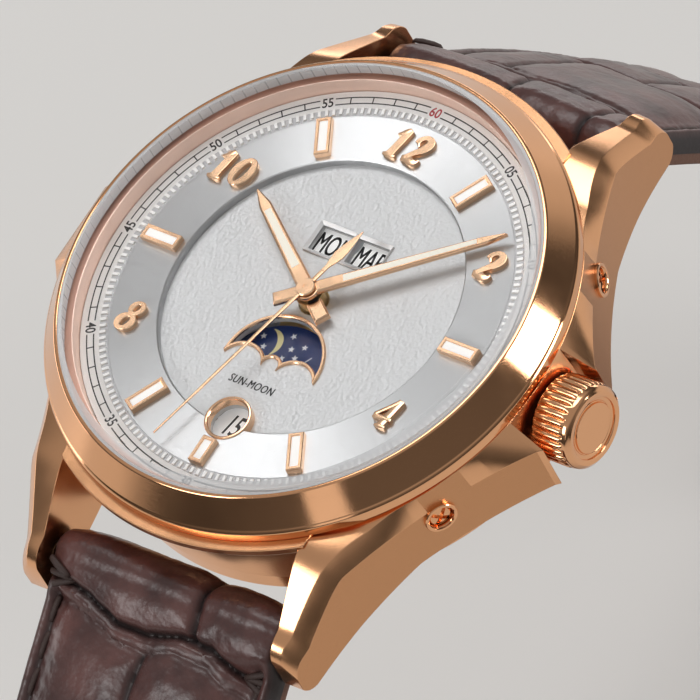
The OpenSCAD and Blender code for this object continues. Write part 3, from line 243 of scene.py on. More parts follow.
windowPaint = matt("windowPaint", (0.8, 0.8, 0.8), (0.75, 0.75, 0.76), 0.35, 6, 0.2, 0.08, Metallic=0.15)
nightBlue = matt("nightBlue", (0.003, 0.016, 0.1), (0.006, 0.03, 0.16), 0.25, 4, 0.3, 0.05)
paleMoon = matt("paleMoon", (0.86, 0.78, 0.4), (0.78, 0.7, 0.34), 0.4, 5, 0.4, 0.1)
starWhite = matt("starWhite", (0.85, 0.87, 0.9), (0.75, 0.78, 0.85), 0.4, 5, 0.4, 0.1)
# Painted light: the calendar discs and the date ring glow a little by Emission Strength, against the shade of
# their window frames
discWhiteGlow = matt("discWhiteGlow", (0.9, 0.9, 0.89), (0.86, 0.86, 0.85), 0.5, 6, 0.3, 0.06, Emission_Strength=0.2)
liningLeather = matt("liningLeather", (0.16, 0.075, 0.045), (0.12, 0.055, 0.035), 0.62, 4, 0.5, 0.4, 0.0001)
darkThread = matt("darkThread", (0.035, 0.018, 0.015), (0.06, 0.032, 0.026), 0.6, 8, 0.2, 0.4, 0.00008)
print("finishes ready")

# Camera, floor and studio

camera = {
    "right": (0.77715901, 0.53152998, -0.33689724),
    "down": (0.29757194, -0.78210666, -0.54750352),
    "forward": (-0.55450411, 0.32524613, -0.76598965),
    "aim": (3.053, -1.407, -2.807),  # mm from the dial's centre
    "distance": 1500,
    "width": 46.3,  # mm seen across the picture
    "sensor": 36,
    "clip": (0.1, 20),  # m
}


def setCamera(spec):
    data = bpy.data.cameras.new("photoCamera")
    data.sensor_width = spec["sensor"]
    data.lens = spec["sensor"] * spec["distance"] / spec["width"]
    data.clip_start, data.clip_end = spec["clip"]
    body = placed("photoCamera", data)
    forward = Vector(spec["forward"])
    turn = Matrix((spec["right"], -Vector(spec["down"]), -forward)).transposed().to_4x4()
    place = toMetres @ Vector(spec["aim"]) - forward * spec["distance"] / 1000
    body.matrix_world = Matrix.Translation(place) @ turn
    bpy.context.scene.camera = body


studio = {
    "floorR": 4,
    "floor": {"Base Color": (0.78, 0.765, 0.745, 1), "Roughness": 0.75, "Specular IOR Level": 0.2},
    "sky": [(0, 0.2), (1, 0.4), (0.5, 0.1), (0.54, 0.06), (0.66, 0.13), (0.8, 0.4)],  # brightness, upwards
    "skyTint": (1, 0.99, 0.975),
    "lamps": [
        # name, place from the dial in m, width, height, watts
        ("softboxTop", (-0.19, 0.4, 0.85), 0.62, 0.42, 3.0),
        ("softboxRight", (0.86, 0.5, 0.16), 0.34, 0.2, 3.2),
        ("softboxFront", (0.4, -0.83, 0.3), 0.22, 0.25, 0.12),
        ("softboxFrontLeft", (-0.35, -0.74, 0.56), 0.42, 0.3, 2.6),
        ("cardBack", (-0.16, 0.3, -0.04), 0.26, 0.05, 0.1),
        ("cardLeft", (-0.3, -0.05, -0.03), 0.2, 0.05, 0.08),
    ],
}


def disc(r, segments):
    bm = bmesh.new()
    bmesh.ops.create_circle(bm, cap_ends=True, radius=r, segments=segments)
    return bm


def addStudio(spec):
    bm = disc(spec["floorR"], 96)
    mesh = bpy.data.meshes.new("floor")
    bm.to_mesh(mesh)
    bm.free()
    mesh.materials.append(newFinish("paleFloor", spec["floor"]))
    floor = placed("floor", mesh)
    world = bpy.data.worlds.new("studioWorld")
    world.use_nodes = True
    tree = world.node_tree
    split = put(tree, "SeparateXYZ", {0: put(tree, "TexCoord").outputs["Generated"]})
    height = put(tree, "MapRange", {"From Min": -1, "Value": split.outputs["Z"]})
    ramp = put(tree, "ValToRGB", {0: height.outputs[0]})
    ramp.color_ramp.interpolation = "EASE"
    for k, (at, level) in enumerate(spec["sky"]):
        stop = ramp.color_ramp.elements[k] if k < 2 else ramp.color_ramp.elements.new(at)
        stop.position = at
        stop.color = (*(level * c for c in spec["skyTint"]), 1)
    feed(tree, tree.nodes["Background"], {"Color": ramp.outputs[0]})
    bpy.context.scene.world = world
    for name, place, width, height, watts in spec["lamps"]:
        data = bpy.data.lights.new(name, "AREA")
        data.shape = "RECTANGLE"
        data.size, data.size_y, data.energy = width, height, watts
        lamp = placed(name, data)
        lamp.location = toMetres.translation + Vector(place)
        lamp.rotation_euler = (-Vector(place)).to_track_quat("-Z", "Y").to_euler()
    bpy.context.scene.view_settings.view_transform = "Standard"


setCamera(camera)
addStudio(studio)
print("camera and studio ready")

# Ways of making a piece; all sizes are mm from the dial's centre

def settle(name, bm, body, finishes, stands=(), angle=32, even=True):
    bmesh.ops.transform(bm, matrix=toMetres, verts=bm.verts)
    mesh = bpy.data.meshes.new(name)
    bm.to_mesh(mesh)
    bm.free()
    mesh.shade_smooth()
    mesh.set_sharp_from_angle(angle=radians(angle))
    for finish in finishes if isinstance(finishes, list) else [finishes]:
        mesh.materials.append(finish)
    piece = placed(name, mesh)
    if even:
        normals = piece.modifiers.new("normals", "WEIGHTED_NORMAL")
        normals.keep_sharp = True
        normals.weight = 90
    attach(piece, body)
    if stands:
        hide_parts(*stands)
    return piece


def move(x, y, z):
    return Matrix.Translation((x, y, z))


def spin(angle, axis="Z"):
    return Matrix.Rotation(angle, 4, axis)


def clockTurn(angle):
    # Clockwise as seen from above, in degrees
    return spin(-radians(angle))


def turned(bm, matrix):
    bmesh.ops.transform(bm, matrix=matrix, verts=bm.verts)
    return bm


def outward(bm):
    bmesh.ops.recalc_face_normals(bm, faces=bm.faces)
    return bm


def tidied(bm):
    bmesh.ops.remove_doubles(bm, verts=bm.verts, dist=1e-5)
    return outward(bm)


def lathe(profile, steps=192):
    # A closed outline of (radius, height) points turned round the Z axis
    bm = bmesh.new()
    points = [bm.verts.new((r, 0, z)) for r, z in profile]
    edges = [bm.edges.new((points[k - 1], point)) for k, point in enumerate(points)]
    bmesh.ops.spin(
        bm, geom=points + edges, cent=(0, 0, 0), axis=(0, 0, 1), dvec=(0, 0, 0),
        angle=tau, steps=steps, use_merge=True, use_duplicate=False,
    )
    return tidied(bm)


def drawn(loops, ends="both"):
    # Closed loops of equally many points, each extruded from the one before
    bm = bmesh.new()
    order = bm.verts.layers.int.new("order")
    start = [bm.verts.new(p) for p in loops[0]]
    for k, point in enumerate(start):
        point[order] = k
    first = edges = [bm.edges.new((start[k - 1], point)) for k, point in enumerate(start)]
    for points in loops[1:]:
        made = bmesh.ops.extrude_edge_only(bm, edges=edges)["geom"]
        edges = [g for g in made if isinstance(g, bmesh.types.BMEdge) and g.is_boundary]
        for point in (g for g in made if isinstance(g, bmesh.types.BMVert)):
            point.co = points[point[order]]
    if ends == "both":
        bmesh.ops.edgeloop_fill(bm, edges=first)
    if ends in ("both", "last"):
        bmesh.ops.edgeloop_fill(bm, edges=edges)
    return tidied(bm)


def plate(outline, low, high):
    return drawn([[(x, y, z) for x, y in outline] for z in (low, high)])


def soften(bm, width, segments=2, angle=30, above=None):
    edges = [
        e for e in bm.edges
        if len(e.link_faces) == 2 and e.calc_face_angle(0) > radians(angle)
        and (above is None or min(v.co.z for v in e.verts) > above)
    ]
    bmesh.ops.bevel(
        bm, geom=edges, offset=width, offset_type="OFFSET", affect="EDGES",
        segments=segments, profile=0.5, material=-1, clamp_overlap=True,
    )
    return bm


def gathered(parts):
    # Several shapes in one mesh
    whole = bmesh.new()
    for part in parts:
        mesh = bpy.data.meshes.new("part")
        part.to_mesh(mesh)
        part.free()
        whole.from_mesh(mesh)
        bpy.data.meshes.remove(mesh)
    return whole


def carved(bm, others):
    # The shape with the others cut from it
    made = []
    for shape in [bm, *others]:
        mesh = bpy.data.meshes.new("shape")
        shape.to_mesh(mesh)
        shape.free()
        made.append(placed("shape", mesh))
    for other in made[1:]:
        cut = made[0].modifiers.new("cut", "BOOLEAN")
        cut.operation, cut.solver, cut.object = "DIFFERENCE", "MANIFOLD", other
    whole = bmesh.new()
    whole.from_object(made[0], bpy.context.evaluated_depsgraph_get())
    for piece in made:
        bpy.data.meshes.remove(piece.data)
    return whole


def box(x, y, z):
    bm = bmesh.new()
    bmesh.ops.create_cube(bm, size=1)
    size = Matrix.Diagonal((x[1] - x[0], y[1] - y[0], z[1] - z[0], 1))
    return turned(bm, move((x[0] + x[1]) / 2, (y[0] + y[1]) / 2, (z[0] + z[1]) / 2) @ size)


def rod(radius, low, high, steps=64):
    bm = bmesh.new()
    bmesh.ops.create_cone(bm, cap_ends=True, segments=steps, radius1=radius, radius2=radius, depth=high - low)
    return turned(bm, move(0, 0, (low + high) / 2))


def lettering(words, size, weight=0.0, lean=0.0, narrow=1.0, spacing=1.0, height=0.008):
    # Flat print, centred on the origin and facing up
    curve = bpy.data.curves.new("print", "FONT")
    curve.body = words
    curve.size, curve.offset, curve.shear, curve.space_character = size, weight, lean, spacing
    curve.align_x, curve.align_y = "CENTER", "CENTER"
    curve.resolution_u = 4
    curve.fill_mode = "FRONT"
    piece = placed("print", curve)
    flat = bpy.data.meshes.new_from_object(piece.evaluated_get(bpy.context.evaluated_depsgraph_get()))
    bm = bmesh.new()
    bm.from_mesh(flat)
    bpy.data.meshes.remove(flat)
    bpy.data.curves.remove(curve)
    xs = [v.co.x for v in bm.verts]
    ys = [v.co.y for v in bm.verts]
    middle = move(-(min(xs) + max(xs)) / 2, -(min(ys) + max(ys)) / 2, height)
    return turned(bm, Matrix.Diagonal((narrow, 1, 1, 1)) @ middle)


def inked(words, size, by, *more):
    # An outline offset would close the M, so the strokes widen by printing twice
    return gathered([turned(lettering(words, size, 0, *more), move(x, 0, 0)) for x in (-by, by)])


def ellipse(x, y, rx, ry, a, b, count):
    turns = [a + (b - a) * k / count for k in range(count)]
    return [(x + rx * cos(turn), y + ry * sin(turn)) for turn in turns]


def arc(x, y, r, a, b, count):
    return ellipse(x, y, r, r, a, b, count)


def between(value, table):
    for (a, low), (b, high) in zip(table, table[1:]):
        if value <= b:
            return low + (high - low) * max(0, value - a) / (b - a)
    return table[-1][1]


# Case middle: flanks and lugs drawn along Y, joined to the round body

case = {
    "topZ": -0.65, "bottomZ": -7, "sink": 0.01, "bodyR": 17.6, "bevel": 0.08, "boreR": 14.6, "seatR": 16.36,
    "seatZ": -1.0, "bezelR": 18.85, "ledgeR": 18.6, "ledgeZ": -2.45, "rimR": 19.6, "rimT": 0.6,
    "rimX": 10.4, "rimY": 15.2, "rimEdge": 0.06, "halfW": 20.9, "flankR": 42.7, "flankY": 30.4,
    "flankX": 53.77, "lean": 0.04, "gap": 20, "tipY": 23.1, "tipR": 1.7, "tipCut": 0.03, "heelR": 1.1,
    "lugY": 17, "dropY": 12.3, "fall": 0.8, "bend": 0.7, "flankZ": -6.5, "lugZ": -8.9, "stripW": 0.9,
    "stripY": 10, "bezelGap": 0.05, "stripGrow": [(0, 0.3), (2, 0.8), (5, 1), (20, 1)], "ridgeZ": -2.4,
    "ridgeDrop": (0.9, 1.2), "ridgeMin": 0.3, "tilt": 0.15, "tilted": [(8, 0), (12, 1)], "edge": 0.07,
    "stations": 64, "innerR": 17, "kinkY": 3.14, "pocketX": 18.95, "pocketY": 3.08, "pocketSlant": 0.1377,
    "pocketRun": 0.45, "satinDot": 0.97, "satinX": 11, "barY": 20.7, "barZ": -6.7,
    "barHole": (0.43, 9.5, 11, 24), "pusherY": 10, "pusherOut": 0.15, "pusherZ": -3.4,
    "pusherHole": (1.17, -0.8, 2.2, 48),
}


def wingX(y):
    return min(case["halfW"], case["flankX"] - sqrt(case["flankR"] ** 2 - (case["flankY"] - y) ** 2))


def flankNormal(x, y, flat):
    reach = case["flankY"] - abs(y)
    slope = 0 if flat else reach / sqrt(case["flankR"] ** 2 - reach ** 2)
    return Vector((copysign(1, x), copysign(slope, y), -case["lean"])).normalized()


def wingSection(y):
    c = case
    outer = wingX(y)
    if y < c["stripY"]:
        strip = outer - sqrt((c["bezelR"] + c["bezelGap"]) ** 2 - y * y)
    else:
        strip = c["stripW"] * between(y - c["stripY"], c["stripGrow"])
    start = c["tipY"] - c["tipR"]
    past = min(y, start) - c["lugY"]
    top = c["topZ"] - c["fall"] * (past + sqrt(past * past + c["bend"])) / 2
    if y > start:
        top += sqrt(max(0, c["tipR"] ** 2 - (y - start) ** 2)) - c["tipR"]
    heel = c["tipY"] - c["heelR"]
    if y < heel:
        low = between(y, [(c["dropY"], c["flankZ"]), (heel, c["lugZ"])])
    else:
        low = c["lugZ"] + c["heelR"] - sqrt(max(0, c["heelR"] ** 2 - (y - heel) ** 2))
    inner = max(c["gap"] / 2, sqrt(max(0, c["innerR"] ** 2 - y * y)))
    shoulder = outer - strip
    shoulderZ = top - c["tilt"] * (shoulder - inner) * between(y, c["tilted"])
    drop = between(y, list(zip((c["stripY"], c["tipY"]), c["ridgeDrop"])))
    ridge = max(low + c["ridgeMin"], min(c["ridgeZ"], shoulderZ - drop))
    foot = outer - c["lean"] * (ridge - low)
    return [(inner, y, top), (shoulder, y, shoulderZ), (outer, y, ridge), (foot, y, low), (inner, y, low)]


def makeWing(pocket):
    # One quarter of the flank with its lug; the right-hand ones stop at the crown's pocket
    c = case
    last = c["tipY"] - c["tipCut"]
    ys = [last * k / c["stations"] for k in range(c["stations"] + 1)]
    ys = sorted(ys + [c["kinkY"], last - 0.04, last - 0.12])
    loops = [wingSection(y) for y in ys]
    if pocket:
        wall, start = c["pocketX"], c["pocketY"]
        loops = [[(min(x, wall), at, z) for x, at, z in wingSection(y)] for y in (0, start)]
        loops.append([
            (x, start + max(0, x - wall) * c["pocketSlant"], z) for x, at, z in wingSection(start)
        ])
        loops += [wingSection(y) for y in ys if y > start + c["pocketRun"]]
    return soften(drawn(loops), c["edge"], 2, 24)


def correctorPlace(side):
    c = case
    turn = asin((c["flankY"] - c["pusherY"]) / c["flankR"])
    place = move(wingX(c["pusherY"]) + c["pusherOut"], side * c["pusherY"], c["pusherZ"])
    return place @ spin(side * turn) @ spin(quarter, "Y")


def makeCase():
    c = case
    low, top, body = c["bottomZ"], c["topZ"] - c["sink"], c["bodyR"]
    parts = [lathe([
        (c["boreR"], low), (body - c["bevel"], low), (body, low + c["bevel"]), (body, c["ledgeZ"]),
        (c["ledgeR"], c["ledgeZ"]), (c["ledgeR"], top), (c["seatR"], top), (c["seatR"], c["seatZ"]),
        (c["boreR"], c["seatZ"]),
    ])]
    reach = acos(c["rimX"] / c["rimR"])
    outline = arc(0, 0, c["rimR"], reach, pi - reach, 60)
    outline += [(-c["rimX"], c["rimY"]), (c["rimX"], c["rimY"])]
    for side in (1, -1):
        rim = plate([(x, side * y) for x, y in outline], c["topZ"] - c["rimT"], top - c["sink"])
        parts.append(soften(rim, c["rimEdge"], 2, 50))
    for x in (1, -1):
        for y in (1, -1):
            wing = turned(makeWing(x > 0), Matrix.Diagonal((x, y, 1, 1)))
            cuts = [turned(rod(*c["barHole"]), move(0, y * c["barY"], c["barZ"]) @ spin(x * quarter, "Y"))]
            if x > 0:
                cuts.append(turned(rod(*c["pusherHole"]), correctorPlace(y)))
            wing = carved(outward(wing), [outward(cut) for cut in cuts])
            for face in wing.faces:
                middle = face.calc_center_median()
                aim = flankNormal(middle.x, middle.y, abs(middle.y) < c["kinkY"])
                onFlank = face.normal.dot(aim) > c["satinDot"] and middle.x * x > c["satinX"]
                face.material_index = int(onFlank and (x < 0 or abs(middle.y) > c["pocketY"] + 0.1))
            parts.append(wing)
    piece = settle(
        "caseBody", gathered(parts), "case", [roseSoft, roseSatin], ["case_middle"], 22, False,
    )
    mesh = piece.data
    normals = [Vector()] * len(mesh.loops)
    for face in mesh.polygons:
        if face.material_index:
            for k in face.loop_indices:
                x, y = mesh.vertices[mesh.loops[k].vertex_index].co.xy * 1000
                normals[k] = flankNormal(x, y, abs(face.center.y * 1000) < c["kinkY"])
    mesh.normals_split_custom_set(normals)


makeCase()

# Bezel and crystal

bezel = {
    "profile": [
        (16.35, -0.65), (18.85, -0.65), (18.85, 0.05), (18.7, 0.26), (18.62, 0.33), (17.36, 2.24),
        (17.27, 2.3), (17.1, 2.3), (17.1, 1.3), (16.35, 1.3),
    ],
    "steps": 256, "edge": 0.05, "innerR": 17.12, "wallZ": 2.2,
}
crystal = {
    "profile": [
        (0, 1.3), (16.9, 1.3), (16.9, 2.52), (16.84, 2.6), (16.5, 3.0), (16.35, 3.09), (16.2, 3.1), (0, 3.1),
    ],
    "steps": 256, "edgeR": 16.6, "footZ": 1.4,
}


def dressFaces(bm, chosen):
    # The chosen faces get the second finish
    for face in bm.faces:
        x, y, z = face.calc_center_median()
        face.material_index = int(chosen(hypot(x, y), z))
    return bm


band = soften(lathe(bezel["profile"], bezel["steps"]), bezel["edge"], 2, 20)
dressFaces(band, lambda r, z: r < bezel["innerR"] and z < bezel["wallZ"])
settle("bezelRing", band, "case", [roseGold, roseInner], ["bezel"], 20)
dome = dressFaces(
    lathe(crystal["profile"], crystal["steps"]), lambda r, z: r > crystal["edgeR"] and z > crystal["footZ"],
)
settle("crystalGlass", dome, "case", [clearCrystal, crystalEdge], ["crystal"], 12)
print("case, bezel and crystal ready")

# Crown: fluted barrel, smooth rim and stepped face

crown = {
    "x": 19.3, "z": -3.75, "r": 3.0, "length": 3.1, "face": 0.55, "boreR": 1.75, "bore": 1.7,
    "flutes": 32, "depth": 0.2, "around": 8, "round": 0.55,
    # place along the crown, cut off its radius, share of the flutes' depth
    "foot": [(0, 1.25, 0), (0, 0.3, 0), (0.07, 0.14, 0), (0.22, 0.03, 1), (0.4, 0, 1)],
    "rim": [
        (-0.35, 0, 1), (-0.15, 0.02, 0.9), (0, 0.1, 0.1), (0.04, 0.12, 0), (0.22, 0.1, 0), (0.34, 0.16, 0),
        (0.44, 0.3, 0), (0.55, 0.42, 0), (0.55, 0.72, 0), (0.5, 0.8, 0), (0.38, 0.84, 0), (0.36, 1.05, 0),
        (0.3, 1.12, 0), (0.32, 1.18, 0), (0.44, 1.24, 0), (0.46, 1.3, 0),
    ],
}


def makeCrown():
    c = crown
    count = c["flutes"] * c["around"]
    band = c["length"] - c["face"]

    def loop(x, radius, depth):
        points = []
        for k in range(count):
            turn = tau * k / count
            ridge = abs(cos(c["flutes"] / 2 * turn)) ** c["round"]
            r = radius - depth * (1 - ridge)
            points.append((r * cos(turn), r * sin(turn), x))
        return points

    stations = c["foot"] + [(band + x, cut, share) for x, cut, share in c["rim"]]
    outer = drawn([loop(x, c["r"] - cut, c["depth"] * share) for x, cut, share in stations], "last")
    inner = drawn([loop(x, c["boreR"], 0) for x in (0, c["bore"])], "last")
    bmesh.ops.reverse_faces(inner, faces=inner.faces)
    whole = gathered([outer, inner])
    bmesh.ops.remove_doubles(whole, verts=whole.verts, dist=1e-4)
    turned(whole, move(c["x"], 0, c["z"]) @ spin(quarter, "Y"))
    settle("crownKnob", whole, "crown", roseGold, ["crown"], 38)


makeCrown()

# Correctors: collar, and a pusher with a cross slot

corrector = {
    "head": [(0, -1.1), (0.8, -1.1), (0.8, -0.24), (0.71, -0.15), (0.3, -0.09), (0, -0.09)],
    "stem": (0.4, -4.8, -1.1, 32),
    "slot": ((-2, 2), (-0.14, 0.14), (-0.42, 1)), "slotTurns": (42, 138),
    "collar": [
        (0.86, -0.8), (1.18, -0.8), (1.18, 0.04), (1.13, 0.1), (0.96, 0.1), (0.91, 0.06), (0.89, -0.02),
        (0.86, -0.06),
    ],
}


def makeCorrector(side, hour):
    c = corrector
    slots = [turned(box(*c["slot"]), spin(radians(a))) for a in c["slotTurns"]]
    head = gathered([carved(lathe(c["head"], 64), slots), rod(*c["stem"])])
    turned(head, correctorPlace(side))
    settle(f"corrector{hour}", head, f"corrector_at_{hour}", roseGold, [f"corrector_{hour}"], 25)
    return turned(lathe(c["collar"], 72), correctorPlace(side))


collars = gathered([makeCorrector(1, 2), makeCorrector(-1, 4)])
settle("correctorCollars", collars, "case", roseGold, ["corrector_collars"], 25)
print("crown and correctors ready")

# Dial: hour ring, serrated ring and the print of the minute track

dial = {
    "hourRing": [(10.8, -0.6), (14.3, -0.6), (14.3, 0), (10.9, 0), (10.82, -0.06), (10.8, -0.12)],
    "serrated": [(14.3, -0.6), (14.95, -0.6), (14.95, -0.02), (14.93, 0), (14.33, 0), (14.3, -0.03)],
    "teeth": 180, "tooth": ((-0.14, 0.14), (14.42, 14.92), (-0.02, 0.12)), "toothMid": 14.6,
    "toothTop": 0.72, "toothSlope": (0.05, -0.02), "trackIn": 15.28, "trackOut": 15.86, "line": 0.09,
    "tick": 0.042, "inkZ": (0.004, 0.012), "numberR": 15.57, "numberSize": 1.02, "numberGap": 2.1,
    "weight": 0.018,
}
window = {
    "calendarY": 4.4, "dateY": 10.3, "dateR": 1.43, "rimW": 0.25, "moonArcY": -5.3, "moonArcR": 3.6,
    "plateZ": -0.6, "ringIn": 8.05,
}


def makeHourRing():
    hole = turned(rod(window["dateR"] + window["rimW"], -2, 2, 96), move(0, -window["dateY"], 0))
    ring = carved(lathe(dial["hourRing"], 240), [hole])
    settle("hourRing", ring, "case", silverRing, ["hour_ring"], 22)


def makeSerratedRing():
    d = dial
    parts = [lathe(d["serrated"], 180)]
    for k in range(d["teeth"]):
        tooth = box(*d["tooth"])
        for v in tooth.verts:
            if v.co.z > 0:
                v.co.x *= d["toothTop"]
                v.co.y += d["toothSlope"][v.co.y > d["toothMid"]]
        parts.append(turned(tooth, clockTurn(k * 360 / d["teeth"])))
    ring = gathered(parts)
    # The ring's floor between the teeth takes the grey of painted shade, and the teeth stay white
    for face in ring.faces:
        face.material_index = int(face.calc_center_median().z < 0.001 and face.normal.z > 0.5)
    settle("serratedRing", ring, "case", [whiteTeeth, paintedShadeGap], ["serrated_ring"], 30)


def flatRing(low, high, z, gaps):
    # A printed circle, left out between the given pairs of clock angles
    bm = bmesh.new()
    edge = [bm.verts.new((0, r, z)) for r in (low, high)]
    line = bm.edges.new(edge)
    bmesh.ops.spin(
        bm, geom=edge + [line], cent=(0, 0, 0), axis=(0, 0, -1), dvec=(0, 0, 0),
        angle=tau, steps=720, use_merge=True,
    )
    out = []
    for face in bm.faces:
        middle = face.calc_center_median()
        turn = degrees(atan2(middle.x, middle.y)) % 360
        if any(a <= turn <= b or a <= turn + 360 <= b for a, b in gaps):
            out.append(face)
    bmesh.ops.delete(bm, geom=out, context="FACES")
    for face in bm.faces:
        if face.normal.z < 0:
            face.normal_flip()
    return bm


def makeTrackPrint():
    d = dial
    z = d["inkZ"][1]
    gaps = [(30 * k - d["numberGap"], 30 * k + d["numberGap"]) for k in range(1, 13)]
    parts = [flatRing(r, r + d["line"], z, gaps) for r in (d["trackIn"], d["trackOut"] - d["line"])]
    for minute in range(60):
        if minute % 5:
            tick = box((-d["tick"], d["tick"]), (d["trackIn"], d["trackOut"]), d["inkZ"])
            parts.append(turned(tick, clockTurn(6 * minute)))
    for k in range(1, 12):
        number = lettering(f"{5 * k:02d}", d["numberSize"], d["weight"], 0, 0.84)
        upright = spin(pi if 4 <= k <= 8 else 0)
        parts.append(turned(number, clockTurn(30 * k) @ move(0, d["numberR"], 0) @ upright))
    settle("minutePrint", gathered(parts), "case", blackInk, ())
    sixty = turned(lettering("60", d["numberSize"], d["weight"], 0, 0.86), move(0, d["numberR"], 0))
    settle("sixtyPrint", sixty, "case", redInk, ())


def dress(finish, *names):
    for name in names:
        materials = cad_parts[name].data.materials
        materials.clear()
        materials.append(finish)


makeHourRing()
makeSerratedRing()
makeTrackPrint()
dress(silverGrain, "dial_plate")
print("dial ready")

# Hour bars with their inlays, and the applied numerals

bars = {
    "long": (2.9, 14.1), "short": (2.0, 14.2),  # length, outer end
    "width": 1.1, "height": 0.5, "wall": 0.24, "edge": 0.05, "bevel": 0.03, "floorZ": 0.35, "inlayZ": 0.42,
}


def rectangle(x, y, z, cut=0.0):
    low, high = (x[0] + cut, y[0] + cut), (x[1] - cut, y[1] - cut)
    return [(*low, z), (high[0], low[1], z), (*high, z), (low[0], high[1], z)]


def makeBars():
    b = bars
    top, wall, bevel = b["height"], b["wall"], b["bevel"]
    steps = [(0, 0), (0, top - b["edge"]), (b["edge"], top)]
    steps += [(wall - bevel, top), (wall, top - bevel), (wall, b["floorZ"])]
    x = (-b["width"] / 2, b["width"] / 2)
    frames, inlays = [], []
    for hour in (1, 3, 5, 7, 9, 11, 6):
        length, end = b["short"] if hour == 6 else b["long"]
        y = (end - length, end)
        frames.append(turned(drawn([rectangle(x, y, z, cut) for cut, z in steps]), clockTurn(30 * hour)))
        inlay = box((x[0] + wall, x[1] - wall), (y[0] + wall, y[1] - wall), (b["floorZ"], b["inlayZ"]))
        inlays.append(turned(soften(inlay, bevel, 2, 40), clockTurn(30 * hour)))
    settle("hourBars", gathered(frames), "case", roseHands, ["hour_bars"])
    settle("barInlays", gathered(inlays), "case", whiteInlayGlow, ["bar_inlays"])


def penOval(x, y, rx, ry, pen, swell, steps):
    # A closed stroke, widest at its sides
    turns = [tau * k / steps for k in range(steps + 1)]
    return [(x + rx * cos(a), y + ry * sin(a), pen + swell * cos(a) ** 2) for a in turns]


numerals = {
    "height": 2.4, "thick": 0.4, "edge": 0.05, "lean": 0.2, "advance": 0.66, "pen": 1.28, "shift": 0.12,
    "step": 0.004,
    "places": [
        ("12", (-0.05, 12.45)), ("2", (10.85, 6.5)), ("4", (10.6, -6.0)), ("8", (-11.15, -6.05)),
        ("10", (-11.0, 6.5)),
    ],
}
# Pen strokes of each digit: points as (x, y, pen width) in units of its height; the long ones close
strokes = {
    "0": [penOval(0.3, 0.5, 0.235, 0.42, 0.115, 0.075, 28)],
    "1": [
        [(0.04, 0.74, 0.05), (0.14, 0.8, 0.1), (0.24, 0.91, 0.14), (0.31, 0.99, 0.1)],
        [(0.3, 0.98, 0.17), (0.29, 0.6, 0.19), (0.29, 0.25, 0.19), (0.29, 0.06, 0.22)],
        [(0.08, 0.05, 0.06), (0.2, 0.06, 0.12), (0.38, 0.06, 0.12), (0.5, 0.05, 0.06)],
    ],
    "2": [
        [(0.16, 0.66, 0.2), (0.2, 0.69, 0.14)],
        [
            (0.1, 0.68, 0.14), (0.13, 0.83, 0.12), (0.27, 0.93, 0.12), (0.43, 0.88, 0.17),
            (0.5, 0.73, 0.21), (0.43, 0.55, 0.19), (0.28, 0.38, 0.14), (0.1, 0.14, 0.11),
        ],
        [(0.03, 0.1, 0.14), (0.18, 0.13, 0.2), (0.36, 0.08, 0.2), (0.5, 0.11, 0.15), (0.56, 0.22, 0.05)],
    ],
    "4": [
        [(0.43, 0.97, 0.1), (0.24, 0.66, 0.1), (0.03, 0.34, 0.1)],
        [(0.0, 0.31, 0.11), (0.3, 0.31, 0.13), (0.62, 0.31, 0.09)],
        [(0.44, 0.98, 0.16), (0.43, 0.5, 0.19), (0.43, 0.08, 0.19)],
        [(0.26, 0.05, 0.06), (0.43, 0.06, 0.12), (0.62, 0.05, 0.06)],
    ],
    "8": [
        penOval(0.31, 0.755, 0.165, 0.185, 0.1, 0.05, 24), penOval(0.29, 0.275, 0.215, 0.23, 0.11, 0.07, 24),
    ],
}


def curved(points, count=6):
    # Points of a smooth curve through the given ones
    out = []
    for k in range(len(points) - 1):
        p = [points[max(0, k - 1)], points[k], points[k + 1], points[min(len(points) - 1, k + 2)]]
        for j in range(count):
            t = j / count
            out.append(tuple(
                b + 0.5 * t * (c - a + t * (2 * a - 5 * b + 4 * c - d + t * (3 * b - 3 * c + d - a)))
                for a, b, c, d in zip(*p)
            ))
    return out + [points[-1]]


def penStroke(points, low, high):
    n = numerals
    size = n["height"]
    closed = len(points) > 12
    line = [
        ((x + n["lean"] * y) * size, y * size, w * n["pen"] * size)
        for x, y, w in (points if closed else curved(points))
    ]
    left, right = [], []
    for k, (x, y, w) in enumerate(line):
        a = line[k - 1] if k else line[-2 if closed else 0]
        b = line[k + 1] if k + 1 < len(line) else line[1 if closed else -1]
        across = Vector((a[1] - b[1], b[0] - a[0])).normalized() * w / 2
        left.append((x + across.x, y + across.y))
        right.append((x - across.x, y - across.y))
    e = n["edge"]
    if not closed:
        return soften(plate(left + right[::-1], low, high), e, 2, 60, high - 0.01)
    loops = []
    for base, grow, z in (
        (left, 0, low), (left, 0, high - e), (left, e, high), (right, -e, high), (right, 0, high - e),
        (right, 0, low),
    ):
        loop = []
        for k, spot in enumerate(base[:-1]):
            step = (Vector(right[k]) - Vector(left[k])).normalized() * grow
            loop.append((spot[0] + step.x, spot[1] + step.y, z))
        loops.append(loop)
    return drawn(loops + [loops[0]], "none")


def makeNumerals():
    n = numerals
    parts = []
    for words, (x, y) in n["places"]:
        for k, digit in enumerate(words):
            start = x + (k - len(words) / 2) * n["advance"] * n["height"] - n["shift"]
            for j, points in enumerate(strokes[digit]):
                part = penStroke(points, 0, n["thick"] - n["step"] * j)
                parts.append(turned(part, move(start, y - n["height"] / 2, 0)))
    settle("hourNumerals", gathered(parts), "case", roseHands, ["hour_numerals"], 40)


makeBars()
makeNumerals()
print("bars and numerals ready")

# Frames of the windows, with the art and the print behind them

